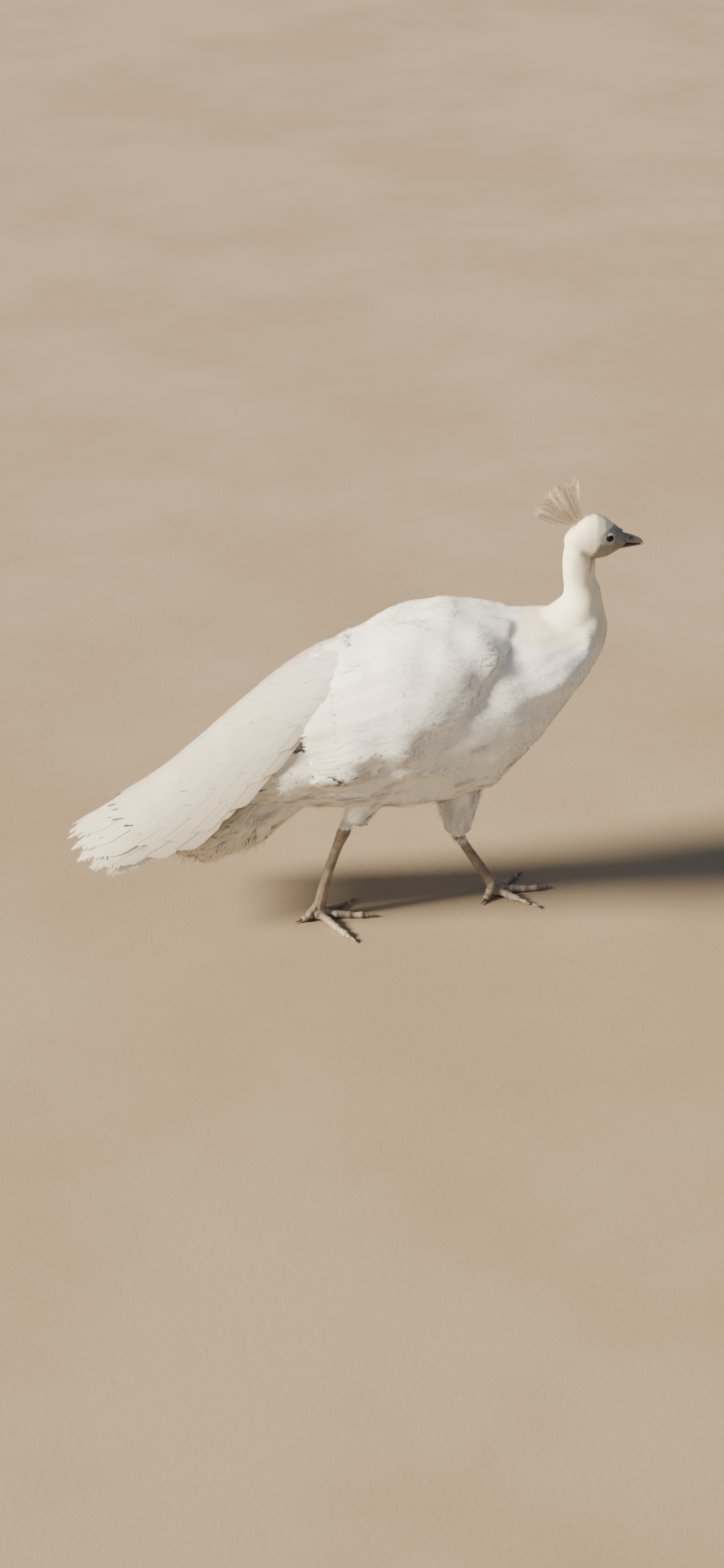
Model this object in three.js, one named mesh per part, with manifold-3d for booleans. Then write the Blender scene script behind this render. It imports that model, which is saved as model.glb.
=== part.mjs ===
// A white peafowl without a long train, life-size, caught in mid-stride with both feet on the floor.
// X points forwards, Y to the bird's left and Z up. Lengths are millimetres and angles are degrees.
// The bird is modelled with its feet astride X = 0, Y = 0, and is moved at the end so that the
// origin is under the middle of its bounding box, at floor level.

import * as THREE from "three";
import { mergeVertices } from "three/addons/utils/BufferGeometryUtils.js";
import Module from "manifold-3d";

const wasm = await Module();
wasm.setup();

const { lerp, degToRad, smoothstep, clamp } = THREE.MathUtils;
const sides = { left: 1, right: -1 };
const gap = 0.3; // clearance between parts that touch

// ---------------------------------------------------------------- sizes

// Feathered body, as upright sections: x, height of the centre, half height, half width.
const trunkSections = [
  [-240, 208, 6, 6],
  [-203, 226, 56, 50],
  [-154, 250, 86, 68],
  [-103, 263, 104, 80],
  [-34, 281, 122, 90],
  [45, 295, 131, 93],
  [113, 304, 112, 89],
  [163, 334, 75, 79],
  [212, 372, 45, 57],
  [236, 392, 25, 29],
  [244, 393, 4, 4],
];
const trunkSides = 22;
const trunkSteps = 14;

// Neck, from inside the breast up to the skull: position along it, x, z, half depth, half width.
const neckSections = [
  [0, 183, 372, 45, 44],
  [0.2, 203, 402, 36, 35],
  [0.4, 210, 426, 27, 26],
  [0.56, 207, 444, 21, 20.5],
  [0.72, 202.5, 461, 18.2, 18],
  [0.86, 200.5, 480, 17.6, 17.5],
  [1, 203, 500, 17, 16.5],
];

// Head, about a point inside the skull: x, height of the centre, half height, half width.
const headPlace = [218, 0, 511];
const headSections = [
  [-34, -6, 3, 3],
  [-30, -4, 13, 11],
  [-20, -2, 20, 16],
  [-6, 0, 27, 19],
  [8, -1, 28.5, 19.2],
  [20, -3, 22, 16.4],
  [30, -4.5, 15, 12],
  [38, -5, 10.5, 8.6],
  [41, -5.2, 8.5, 7],
];
const eye = { radius: 6.6, x: 19, y: 11, z: 2.2 };

// Bill halves, in the head's frame: x, top, bottom, half width.
const billUpper = [
  [33, 4.5, -9.6, 8.2],
  [41, 4.4, -10, 7.2],
  [49, 1.6, -10.3, 5.6],
  [56, -2.6, -10.8, 3.9],
  [61, -8.6, -12.2, 1.9],
  [62.6, -12.2, -13.8, 0.7],
];
const billLower = [
  [32, -10.3, -18, 7],
  [41, -10.7, -16.2, 6],
  [50, -11, -14.9, 4.4],
  [57, -11.5, -14, 2.6],
  [60.2, -12.6, -13.8, 1],
];

// Fan of crest plumes that stands on the back of the crown and leans back.
const crest = {
  plumes: 11,
  root: [-17, 19],
  rootSpread: 8,
  lean: 134, // of the middle plume, from straight ahead
  spread: 66, // from the first plume to the last
  lengths: [55, 47], // of the first plume and the last
  vaneLength: 16,
  vaneWidth: 8,
  shaft: 1.1,
  thickness: 0.8,
};

// Folded wing: a thin shell over the side of the trunk. Angles are measured down from the back.
const wing = {
  topAngle: 13,
  lowAngle: 113,
  frontTop: 122,
  frontLow: -6,
  rearTop: -150,
  rearLow: -112,
  thickness: 9,
  edge: 2.6,
  feathers: 8,
  tipStep: 10,
  vaneStep: 1.3,
};

// Vault that the tail and its coverts follow: x, ridge height, half width, depth to its lower edge.
const vaultSections = [
  [-430, 121, 74, 42],
  [-362, 170, 69, 66],
  [-308, 210, 62, 90],
  [-255, 257, 60, 105],
  [-203, 303, 66, 96],
  [-152, 342, 70, 74],
  [-110, 368, 62, 46],
  [-76, 384, 44, 22],
];
const coverts = {
  front: -78,
  tipMiddle: -368,
  tipSide: -292,
  reach: 74,
  thickness: 8,
  tipThickness: 1.6,
  feathers: 7,
  tipStep: 14,
};
const tail = {
  perSide: 9,
  root: -176,
  tipMiddle: -416,
  tipOuter: -360,
  tipStep: 9,
  rootReach: 50,
  tipReach: 86,
  thickness: 2.4,
  drop: 5,
};

// Soft feathers that hang under the tail: x, height of the centre, half height, half width.
const ventSections = [
  [-294, 112, 3, 4],
  [-280, 118, 22, 15],
  [-248, 133, 50, 30],
  [-215, 154, 58, 40],
  [-180, 172, 56, 46],
  [-140, 190, 38, 46],
  [-100, 216, 30, 40],
];

// Legs. The right leg trails and the left one leads. Places are x, y, z of the joint's middle.
const legs = {
  left: {
    ball: [115.5, 21, 11],
    hock: [46, 25, 121],
    bow: 0,
    thigh: [
      [0, 38, 42, 238, 54, 40],
      [0.45, 66, 38, 170, 35, 30],
      [0.75, 67, 32, 130, 26, 22],
      [1, 67, 28, 93, 15, 13],
    ],
    heading: 5,
    toes: { inner: [-43, 58], middle: [0, 66], outer: [43, 54], hind: [-132, 24] },
  },
  right: {
    ball: [-115.5, -21, 11],
    hock: [-78, -26, 141],
    bow: 4,
    thigh: [
      [0, 14, -44, 246, 50, 38],
      [0.45, -28, -36, 212, 33, 28],
      [0.75, -54, -32, 180, 22, 19],
      [1, -69, -27, 146, 15.5, 13.5],
    ],
    heading: -4,
    toes: { inner: [40, 54], middle: [0, 66], outer: [-52, 68], hind: [-152, 24] },
  },
};
const shank = { hock: 9.4, middle: 5.8, foot: 7.8, pad: 11.5 };
const toe = { root: 5.8, tip: 3.6, joints: 2.5, start: 6, hindRise: 9 };
const claw = { length: 12, radius: 2.7, drop: 1.2 };

// ---------------------------------------------------------------- solids

// A closed solid from a geometry whose faces may still share a place but not a vertex.
function solidOf(geometry) {
  for (const name of ["normal", "uv"]) geometry.deleteAttribute(name);
  const merged = mergeVertices(geometry, 1e-3);
  const place = merged.getAttribute("position");
  const corners = [...Array(place.count)].map((_, i) =>
    new THREE.Vector3().fromBufferAttribute(place, i),
  );
  let triangles = [];
  let volume = 0;
  for (let i = 0; i < merged.index.count; i += 3) {
    const [a, b, c] = [0, 1, 2].map((k) => merged.index.getX(i + k));
    if (a === b || b === c || c === a) continue;
    triangles.push([a, b, c]);
    volume += corners[a].dot(corners[b].clone().cross(corners[c]));
  }
  if (volume < 0) triangles = triangles.map(([a, b, c]) => [a, c, b]);
  return new wasm.Manifold(
    new wasm.Mesh({
      numProp: 3,
      vertProperties: new Float32Array(place.array),
      triVerts: new Uint32Array(triangles.flat()),
    }),
  );
}

// Moves each vertex of a geometry to where place(vertex) puts it.
function shaped(geometry, place) {
  const position = geometry.getAttribute("position");
  const from = new THREE.Vector3();
  for (let i = 0; i < position.count; i += 1) {
    const to = place(from.fromBufferAttribute(position, i));
    position.setXYZ(i, to.x, to.y, to.z);
  }
  return solidOf(geometry);
}

// A tube of changing section. place(t, angle, r) gets t from 0 to 1 along it, and r is 0 at the
// middle of an end cap and 1 on the skin.
function tube(around, steps, place) {
  return shaped(new THREE.CylinderGeometry(1, 1, 1, around, steps), (v) => {
    const r = Math.hypot(v.x, v.z) > 0.5 ? 1 : 0;
    return place(v.y + 0.5, Math.atan2(v.x, v.z), r);
  });
}

// A thin sheet. place(s, t, outer) gets s and t from 0 to 1 across it, and outer is 0 or 1.
function sheet(along, across, place) {
  return shaped(new THREE.BoxGeometry(1, 1, 1, along, across, 1), (v) =>
    place(v.x + 0.5, v.y + 0.5, v.z > 0 ? 1 : 0),
  );
}

// Smooth values between rows whose first number is the place that the others belong to.
function between(rows) {
  const width = rows[0].length - 1;
  const curve = new THREE.CubicInterpolant(
    rows.map((row) => row[0]),
    rows.flatMap((row) => row.slice(1)),
    width,
    new Float64Array(width),
  );
  return (at) => [...curve.evaluate(clamp(at, rows[0][0], rows.at(-1)[0]))];
}

// A tube through upright sections along X, with more steps near its ends.
function bodyOf(sections, around, steps, grow = 0) {
  const at = between(sections);
  const [first, last] = [sections[0][0], sections.at(-1)[0]];
  return tube(around, steps, (t, angle, r) => {
    const x = lerp(first, last, lerp(t, 0.5 - 0.5 * Math.cos(Math.PI * t), 0.8));
    const [z, high, wide] = at(x);
    const end = t === 0 ? -grow : t === 1 ? grow : 0;
    return new THREE.Vector3(
      x + end,
      r * (wide + grow) * Math.sin(angle),
      z + r * (high + grow) * Math.cos(angle),
    );
  });
}

// A tube along a path of rows: place along it, x, y, z, half depth, half width.
function limbOf(rows, around, steps, grow = 0) {
  const at = between(rows);
  const point = (t) => new THREE.Vector3(...at(t).slice(0, 3));
  return tube(around, steps, (t, angle, r) => {
    const [deep, wide] = at(t).slice(3);
    const ahead = point(Math.min(t + 0.02, 1)).sub(point(Math.max(t - 0.02, 0))).normalize();
    const across = new THREE.Vector3(0, 1, 0).addScaledVector(ahead, -ahead.y).normalize();
    const front = across.clone().cross(ahead);
    const end = t === 0 ? -grow : t === 1 ? grow : 0;
    return point(t)
      .addScaledVector(ahead, end)
      .addScaledVector(front, r * (deep + grow) * Math.cos(angle))
      .addScaledVector(across, r * (wide + grow) * Math.sin(angle));
  });
}

function joined(solids) {
  return solids.reduce((all, one) => all.add(one));
}

function without(solid, ...others) {
  return others.reduce((left, other) => left.subtract(other), solid);
}

// The largest piece of a solid, so that a cut leaves no crumbs.
function mainPiece(solid) {
  return solid.decompose().sort((a, b) => b.volume() - a.volume())[0];
}

// ---------------------------------------------------------------- scene

const bird = new THREE.Group();
bird.name = "bird";

function groupAt(place, heading = 0) {
  const group = new THREE.Group();
  group.position.set(...place);
  group.rotation.z = degToRad(heading);
  group.updateMatrix();
  bird.add(group);
  return group;
}

const finishes = {
  plumage: { color: 0xf1eee2, roughness: 0.85 },
  shadedPlumage: { color: 0xe4ded0, roughness: 0.9 },
  bill: { color: 0x8a8485, roughness: 0.5 },
  eye: { color: 0x1d1a18, roughness: 0.08 },
  leg: { color: 0x8d7d66, roughness: 0.7 },
  claw: { color: 0x6b6259, roughness: 0.45 },
};

// Adds a solid given in the bird's frame as a mesh of group, in group's own frame.
function addPart(name, solid, finish, group = bird) {
  const mesh = mainPiece(solid).getMesh();
  const geometry = new THREE.BufferGeometry();
  geometry.setAttribute("position", new THREE.BufferAttribute(mesh.vertProperties, 3));
  geometry.setIndex(new THREE.BufferAttribute(mesh.triVerts, 1));
  if (group !== bird) geometry.applyMatrix4(group.matrix.clone().invert());
  geometry.computeVertexNormals();
  const material = new THREE.MeshStandardMaterial({ ...finishes[finish], flatShading: true });
  const part = new THREE.Mesh(geometry, material);
  part.name = name;
  group.add(part);
}

// Moves a solid from a group's frame into the bird's.
function fromGroup(solid, group) {
  return solid.transform(group.matrix.elements);
}

// ---------------------------------------------------------------- trunk and neck

const trunkAt = between(trunkSections);
const trunkOf = (grow) => bodyOf(trunkSections, trunkSides, trunkSteps, grow);
const trunk = trunkOf(0);
const trunkRoom = trunkOf(gap);
addPart("trunk", trunk, "plumage");

// A point on the side of the trunk, lift outside it, angle down from the back.
function onTrunk(x, angle, lift, side) {
  const [z, high, wide] = trunkAt(x);
  const [s, c] = [Math.sin(degToRad(angle)), Math.cos(degToRad(angle))];
  const normal = new THREE.Vector2(s / wide, c / high).normalize();
  return new THREE.Vector3(x, side * (wide * s + normal.x * lift), z + high * c + normal.y * lift);
}

const neckRows = neckSections.map(([t, x, z, deep, wide]) => [t, x, 0, z, deep, wide]);

// ---------------------------------------------------------------- head

const headGroup = groupAt(headPlace);
const headShape = (grow) => bodyOf(headSections, 18, 10, grow);

function eyeBall(side, grow = 0) {
  return shaped(new THREE.SphereGeometry(eye.radius + grow, 12, 7), (v) =>
    v.clone().add(new THREE.Vector3(eye.x, side * eye.y, eye.z)),
  );
}

// Half of the bill: its section is an arch that is flat where the two halves meet.
function billHalf(rows, grow = 0) {
  const at = between(rows);
  const upper = rows === billUpper;
  return tube(10, 5, (t, angle, r) => {
    const x = lerp(rows[0][0], rows.at(-1)[0], Math.sin((Math.PI / 2) * t));
    const [top, bottom, wide] = at(x);
    const [flat, round] = upper ? [bottom, top] : [top, bottom];
    const share = 0.5 + 0.5 * Math.cos(angle);
    const y = r * (wide + grow) * Math.sin(angle) * (0.75 + 0.25 * (1 - share));
    return new THREE.Vector3(x, y, lerp(flat, round, r === 0 ? 0.5 : share ** 0.8));
  });
}

const eyes = { left: eyeBall(sides.left), right: eyeBall(sides.right) };
const skull = without(
  headShape(0),
  billHalf(billUpper, gap),
  billHalf(billLower, gap),
  ...Object.values(sides).map((side) => eyeBall(side, gap)),
);
addPart("head", fromGroup(skull, headGroup), "plumage", headGroup);
addPart("bill_upper", fromGroup(billHalf(billUpper), headGroup), "bill", headGroup);
addPart("bill_lower", fromGroup(billHalf(billLower), headGroup), "bill", headGroup);
for (const side of Object.keys(sides)) {
  addPart(`eye_${side}`, fromGroup(eyes[side], headGroup), "eye", headGroup);
}

const headRoom = fromGroup(headShape(gap), headGroup);
addPart("neck", without(limbOf(neckRows, 18, 8), trunkRoom, headRoom), "plumage");

// One plume of the crest: a bare shaft that ends in a small flat fan.
function crestPlume(share) {
  const angle = degToRad(crest.lean + crest.spread * (share - 0.5));
  const along = new THREE.Vector3(Math.cos(angle), 0, Math.sin(angle));
  const across = new THREE.Vector3(-along.z, 0, along.x);
  const root = new THREE.Vector3(
    crest.root[0] - crest.rootSpread * (share - 0.5),
    0,
    crest.root[1] - crest.rootSpread * 0.5 * share,
  );
  const length = lerp(...crest.lengths, share);
  const vaneFrom = 1 - crest.vaneLength / length;
  return sheet(6, 1, (s, t, outer) => {
    const far = smoothstep(s, vaneFrom - 0.1, vaneFrom + 0.16);
    const round = Math.sqrt(1 - (clamp(s - 0.83, 0, 0.17) / 0.17) ** 2 * 0.8);
    const wide = lerp(crest.shaft, crest.vaneWidth, far) * round;
    const thick = lerp(crest.shaft, crest.thickness, far);
    return root
      .clone()
      .addScaledVector(along, length * s)
      .addScaledVector(across, wide * (t - 0.5))
      .add(new THREE.Vector3(0, thick * (outer - 0.5), 0));
  });
}

const crestFoot = shaped(new THREE.SphereGeometry(1, 8, 5), (v) =>
  new THREE.Vector3(crest.root[0] + 6 * v.x, 3.2 * v.y, crest.root[1] + 1.5 + 5 * v.z),
);
const plumes = [...Array(crest.plumes)].map((_, i) => crestPlume(i / (crest.plumes - 1)));
const crestSolid = without(joined([crestFoot, ...plumes]), headShape(gap));
addPart("crest", fromGroup(crestSolid, headGroup), "plumage", headGroup);

// ---------------------------------------------------------------- wings

// How far out a point is from the seams between feathers that lie side by side, from 0 to 1.
function crown(across, feathers) {
  return 1 - Math.abs(((across * feathers) % 1) * 2 - 1);
}

function wingShell(side, grow = 0) {
  return sheet(7, 2 * wing.feathers, (s, t, outer) => {
    const angle = lerp(wing.topAngle, wing.lowAngle, t) + (t === 0 ? -grow : t === 1 ? grow : 0);
    const tips = wing.tipStep * crown(t, wing.feathers);
    const front = lerp(wing.frontTop, wing.frontLow, t ** 1.7) + grow;
    const rear = lerp(wing.rearTop, wing.rearLow, t) - tips - grow;
    const x = lerp(front, rear, s);
    const dome = Math.min(1, 3.2 * s) * Math.min(1, 2.2 * (1 - s)) * Math.sin(Math.PI * t) ** 0.6;
    const vane = wing.vaneStep * smoothstep(s, 0.35, 0.6) * crown(t, wing.feathers);
    const lift = outer ? wing.edge + (wing.thickness - wing.edge) * dome + vane + grow : -3;
    return onTrunk(x, angle, lift, side);
  });
}

const wingRooms = Object.values(sides).map((side) => wingShell(side, gap));
for (const [name, side] of Object.entries(sides)) {
  addPart(`wing_${name}`, without(wingShell(side), trunkRoom), "plumage");
}

// ---------------------------------------------------------------- tail

// A point of the tail's vault, depth under its surface. Angle 0 is the ridge and 90 the lower edge.
const vaultAt = between(vaultSections);
function onVault(x, angle, depth) {
  const [ridgeZ, wide, deep] = vaultAt(x);
  const [s, c] = [Math.sin(degToRad(angle)), Math.cos(degToRad(angle))];
  const normal = new THREE.Vector2(s / wide, c / deep).normalize();
  return new THREE.Vector3(
    x,
    wide * s - normal.x * depth,
    ridgeZ - deep * (1 - c) - normal.y * depth,
  );
}

function upperCoverts(grow = 0) {
  return sheet(6, 2 * coverts.feathers, (s, t, outer) => {
    const across = 2 * t - 1;
    const angle = across * (coverts.reach + grow);
    const tips = coverts.tipStep * crown(t, coverts.feathers);
    const end = lerp(coverts.tipMiddle, coverts.tipSide, Math.abs(across) ** 1.5) - tips;
    const x = lerp(coverts.front + grow, end - grow, s);
    const thick = lerp(coverts.thickness, coverts.tipThickness, s ** 1.5);
    return onVault(x, angle, outer ? -grow : thick + grow);
  });
}

// Half of the tail: its feathers lie side by side along the vault, the middle ones uppermost.
function tailHalf(side) {
  return sheet(4, 2 * tail.perSide, (s, t, outer) => {
    const tips = tail.tipStep * crown(t, tail.perSide);
    const x = lerp(tail.root, lerp(tail.tipMiddle, tail.tipOuter, t ** 1.6) - tips, s);
    const angle = t * lerp(tail.rootReach, tail.tipReach, smoothstep(s, 0, 0.8));
    const under = lerp(coverts.thickness + 0.6, 0.6, smoothstep(s, 0.2, 0.85));
    const depth = under + tail.drop * t + (outer ? 0 : tail.thickness);
    const place = onVault(x, angle, depth);
    place.y = Math.max(place.y, gap / 2) * side;
    return place;
  });
}

const covertsRoom = upperCoverts(gap);
addPart("tail_coverts", without(upperCoverts(), trunkRoom, ...wingRooms), "plumage");
for (const [name, side] of Object.entries(sides)) {
  addPart(`tail_${name}`, without(tailHalf(side), trunkRoom, covertsRoom), "plumage");
}
addPart("vent", without(bodyOf(ventSections, 14, 7), trunkRoom), "shadedPlumage");

// ---------------------------------------------------------------- legs

// Flattens whatever would reach below the floor.
function onFloor(v) {
  return v.setZ(Math.max(v.z, 0));
}

function shankOf(leg, grow = 0) {
  const [hock, ball] = [leg.hock, leg.ball].map((p) => new THREE.Vector3(...p));
  const rows = [
    [0, -0.05, shank.hock * 0.7],
    [0.04, 0, shank.hock],
    [0.12, 0.09, shank.hock * 0.86],
    [0.24, 0.22, shank.middle * 1.08],
    [0.55, 0.55, shank.middle],
    [0.84, 0.86, shank.foot * 0.86],
    [1, 1, shank.foot],
  ].map(([t, share, radius]) => {
    const at = hock.clone().lerp(ball, share);
    at.x -= leg.bow * Math.sin(Math.PI * clamp(share, 0, 1));
    return [t, at.x, at.y, at.z, radius * 1.12, radius * 0.92];
  });
  const pad = shaped(new THREE.SphereGeometry(shank.pad + grow, 10, 6), (v) =>
    onFloor(new THREE.Vector3(ball.x + v.x, ball.y + v.z, shank.pad * 0.68 + v.y * 0.84)),
  );
  return limbOf(rows, 8, 8, grow).add(pad);
}

// A toe along +X from the middle of the foot: it drops to the floor and swells at each joint.
function toeOf(length, rise, grow = 0) {
  return tube(8, 5, (t, angle, r) => {
    const swell = 1 + 0.1 * Math.cos(2 * Math.PI * toe.joints * t);
    const radius = lerp(toe.root, toe.tip, t) * swell * (t === 1 ? 0.75 : 1) + grow;
    const height = lerp(toe.root, toe.tip, t) * 0.8 + (rise + 2) * (1 - smoothstep(t, 0, 0.75));
    const x = lerp(toe.start, length, t) + (t === 1 ? grow : 0);
    const turn = angle + Math.PI / 8; // so that two rows of corners lie on the floor
    const up = r * radius * Math.cos(turn);
    return onFloor(new THREE.Vector3(x, r * radius * Math.sin(turn), height + up));
  });
}

// A claw that carries on from a toe's end, curving down to just above the floor.
function clawOf(length) {
  return tube(6, 3, (t, angle, r) => {
    const radius = claw.radius * (1 - t) ** 0.7 + 0.35;
    const x = length - 2 + (claw.length + 2) * t;
    const height = toe.tip * 0.8 + 0.9 * Math.sin(Math.PI * t) - claw.drop * t * t;
    const up = r * radius * Math.cos(angle);
    return new THREE.Vector3(x, r * radius * 0.8 * Math.sin(angle), Math.max(height + up, gap));
  });
}

for (const [name, leg] of Object.entries(legs)) {
  const foot = groupAt([leg.ball[0], leg.ball[1], 0], leg.heading);
  const turned = (solid, angle) => fromGroup(solid.rotate([0, 0, angle]), foot);
  const thighRoom = limbOf(leg.thigh, 14, 6, gap);
  addPart(`thigh_${name}`, without(limbOf(leg.thigh, 14, 6), trunkRoom), "shadedPlumage");
  addPart(`shank_${name}`, without(shankOf(leg), thighRoom, trunkRoom), "leg", foot);
  const taken = [shankOf(leg, gap)];
  for (const [kind, [angle, length]] of Object.entries(leg.toes)) {
    const rise = kind === "hind" ? toe.hindRise : 0;
    const solid = without(turned(toeOf(length, rise), angle), ...taken);
    const room = turned(toeOf(length, rise, gap), angle);
    addPart(`toe_${kind}_${name}`, solid, "leg", foot);
    addPart(`claw_${kind}_${name}`, without(turned(clawOf(length), angle), room), "claw", foot);
    taken.push(room);
  }
}

// ---------------------------------------------------------------- whole

const peafowl = new THREE.Group();
peafowl.name = "peafowl";
peafowl.add(bird);
const box = new THREE.Box3().setFromObject(bird, true);
const middle = box.getCenter(new THREE.Vector3());
bird.position.set(-middle.x, -middle.y, -box.min.z);

export default peafowl;
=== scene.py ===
import math

import bpy
import numpy as np
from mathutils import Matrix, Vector
from mathutils.bvhtree import BVHTree
from mathutils.kdtree import KDTree


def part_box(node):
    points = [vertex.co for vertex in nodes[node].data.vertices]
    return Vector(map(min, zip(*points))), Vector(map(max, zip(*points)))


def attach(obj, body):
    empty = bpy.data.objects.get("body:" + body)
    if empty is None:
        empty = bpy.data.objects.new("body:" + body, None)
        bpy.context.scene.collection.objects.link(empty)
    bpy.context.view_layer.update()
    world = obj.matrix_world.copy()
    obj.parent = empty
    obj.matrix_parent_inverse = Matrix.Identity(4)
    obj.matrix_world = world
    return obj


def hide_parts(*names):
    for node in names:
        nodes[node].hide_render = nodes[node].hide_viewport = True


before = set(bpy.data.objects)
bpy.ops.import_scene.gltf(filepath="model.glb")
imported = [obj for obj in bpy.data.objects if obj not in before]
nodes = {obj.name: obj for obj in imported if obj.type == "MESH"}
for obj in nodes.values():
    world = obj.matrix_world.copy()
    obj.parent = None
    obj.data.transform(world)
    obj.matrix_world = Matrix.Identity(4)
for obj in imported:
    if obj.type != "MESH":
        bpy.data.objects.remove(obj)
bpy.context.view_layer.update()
mm = 0.001
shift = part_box("trunk")[1].x - 0.244  # how far the bird's own frame is moved along X
sides = {"left": 1, "right": -1}
random = np.random.default_rng(11)
print("frame loaded,", len(nodes), "nodes")


studio = {
    "cameraPlace": (-0.1788, -2.7537, 1.7114),
    "cameraAim": (0.0164, 0.0383, 0.16),
    "lens": 57.8,
    "floorPale": (0.33, 0.25, 0.165, 1),
    "floorDark": (0.285, 0.212, 0.138, 1),
    "skyColour": (0.66, 0.79, 1.0, 1),
    "skyStrength": 0.34,
    "key": {"place": (-2.84, -0.45, 1.68), "angle": 14, "strength": 15.5, "colour": (1.0, 0.88, 0.68)},
    "fill": {"place": (2.2, -2.0, 1.6), "size": 2.6, "strength": 0.5, "colour": (0.74, 0.85, 1.0)},
    "lightAim": (0, 0, 0.28),
}


def aimed(obj, target):
    obj.rotation_mode = "QUATERNION"
    obj.rotation_quaternion = (Vector(target) - obj.location).to_track_quat("-Z", "Y")


def deselect():
    bpy.ops.object.select_all(action="DESELECT")


def only(obj):
    deselect()
    obj.select_set(True)
    bpy.context.view_layer.objects.active = obj


deselect()
bpy.ops.object.camera_add(location=studio["cameraPlace"])
camera = bpy.context.object
camera.data.lens = studio["lens"]
camera.data.sensor_width = 36
camera.data.clip_start = 0.05
aimed(camera, studio["cameraAim"])
bpy.context.scene.camera = camera
for name, kind in (("key", "SUN"), ("fill", "AREA")):
    look = studio[name]
    bpy.ops.object.light_add(type=kind, location=look["place"])
    light = bpy.context.object
    light.name = name
    light.data.energy = look["strength"]
    light.data.color = look["colour"]
    if kind == "SUN":
        light.data.angle = math.radians(look["angle"])
    else:
        light.data.size = look["size"]
    aimed(light, studio["lightAim"])
world = bpy.data.worlds.new("softSky")
world.use_nodes = True
sky = world.node_tree.nodes["Background"].inputs
sky["Color"].default_value, sky["Strength"].default_value = studio["skyColour"], studio["skyStrength"]
bpy.context.scene.world = world
print("studio ready")


# Nodes of one material or group. A socket is fed a number, a colour or another node's socket.
class Net:
    def __init__(self, tree):
        self.tree = tree

    def feed(self, sockets, values):
        for key, value in values.items():
            if isinstance(value, bpy.types.NodeSocket):
                self.tree.links.new(value, sockets[key])
            else:
                sockets[key].default_value = value

    def add(self, kind, values=None, **settings):
        node = self.tree.nodes.new("ShaderNode" + kind)
        column, row = divmod(len(self.tree.nodes), 8)
        node.location = (column * 220 - 1800, 600 - row * 180)
        for key, value in settings.items():
            setattr(node, key, value)
        self.feed(node.inputs, values or {})
        return node

    def calc(self, operation, *values, clamp=False):
        return self.add("Math", dict(enumerate(values)), operation=operation, use_clamp=clamp).outputs[0]

    def plus(self, a, b):
        return self.calc("ADD", a, b)

    def minus(self, a, b):
        return self.calc("SUBTRACT", a, b)

    def times(self, a, b):
        return self.calc("MULTIPLY", a, b)

    def rest(self, value):
        return self.minus(1.0, value)

    def mixed(self, share, a, b):
        return self.add("Mix", {0: share, 6: a, 7: b}, data_type="RGBA").outputs[2]

    def ramped(self, value, low, high, to=(0, 1)):
        values = {"Value": value, "From Min": low, "From Max": high, "To Min": to[0], "To Max": to[1]}
        return self.add("MapRange", values, interpolation_type="SMOOTHSTEP").outputs["Result"]

    def noise(self, place, scale, detail, roughness=0.5):
        values = {"Vector": place, "Scale": scale, "Detail": detail, "Roughness": roughness}
        return self.add("TexNoise", values).outputs["Fac"]

    def parts(self, vector):
        return self.add("SeparateXYZ", {0: vector}).outputs

    def scaled(self, vector, by):
        return self.add("VectorMath", {0: vector, "Scale": by}, operation="SCALE").outputs[0]

    def mapped(self, place, values):
        return self.add("Mapping", {"Vector": place, **values}, vector_type="POINT").outputs[0]

    def bumped(self, height, strength, distance):
        return self.add("Bump", {"Height": height, "Strength": strength, "Distance": distance}).outputs[0]

    def stored(self, name, output="Vector"):
        return self.add("Attribute", attribute_name=name, attribute_type="GEOMETRY").outputs[output]

    def objectPlace(self):
        return self.add("TexCoord").outputs["Object"]

    def group(self, inner, values):
        return self.add("Group", values, node_tree=inner.tree).outputs


# A node group. An input without a value is a vector.
def groupOf(name, takes, gives):
    tree = bpy.data.node_groups.new(name, "ShaderNodeTree")
    kinds = {tuple: "Color", float: "Float", type(None): "Vector"}
    for label, value in takes.items():
        kind = "NodeSocket" + kinds[type(value)]
        socket = tree.interface.new_socket(name=label, in_out="INPUT", socket_type=kind)
        if value is not None:
            socket.default_value = value
    for label, kind in gives.items():
        tree.interface.new_socket(name=label, in_out="OUTPUT", socket_type="NodeSocket" + kind)
    entry, leave = tree.nodes.new("NodeGroupInput"), tree.nodes.new("NodeGroupOutput")
    entry.location, leave.location = (-2100, 0), (900, 0)
    return Net(tree), entry.outputs, leave.inputs


def materialOf(name):
    material = bpy.data.materials.new(name)
    material.use_nodes = True
    return material, Net(material.node_tree), material.node_tree.nodes["Principled BSDF"].inputs


# Barbs of a vane: fine slanting streaks, darker where their bump is low as painted shade between the barbs, a
# paler tip over a root that is darker partly as the downy base and partly as painted shade where the feathers
# overlap, and a tone of its own for each feather.
vaneDetail, take, give = groupOf(
    "vaneDetail",
    {
        "Vane": None,
        "Lay": None,
        "Place": None,
        "Tip": (0.9, 0.89, 0.83, 1),
        "RootDownAndShade": (0.7, 0.68, 0.62, 1),
        "Warm": (0.94, 0.875, 0.68, 1),
        "Variation": 0.5,
        "Relief": 0.3,
    },
    {"Color": "Color", "Normal": "Vector"},
)
net = vaneDetail
across, along, _ = net.parts(take["Vane"])
tone, fromRoot, _ = net.parts(take["Lay"])
slant = net.plus(along, net.times(net.calc("ABSOLUTE", across), -1.1))
streakPlace = {0: net.times(slant, 0.9), 1: net.times(across, 0.12), 2: net.times(tone, 37.0)}
streak = net.noise(net.add("CombineXYZ", streakPlace).outputs[0], 1.0, 3.0, 0.6)
patchy = net.noise(take["Place"], 16.0, 3.0, 0.55)
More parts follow.
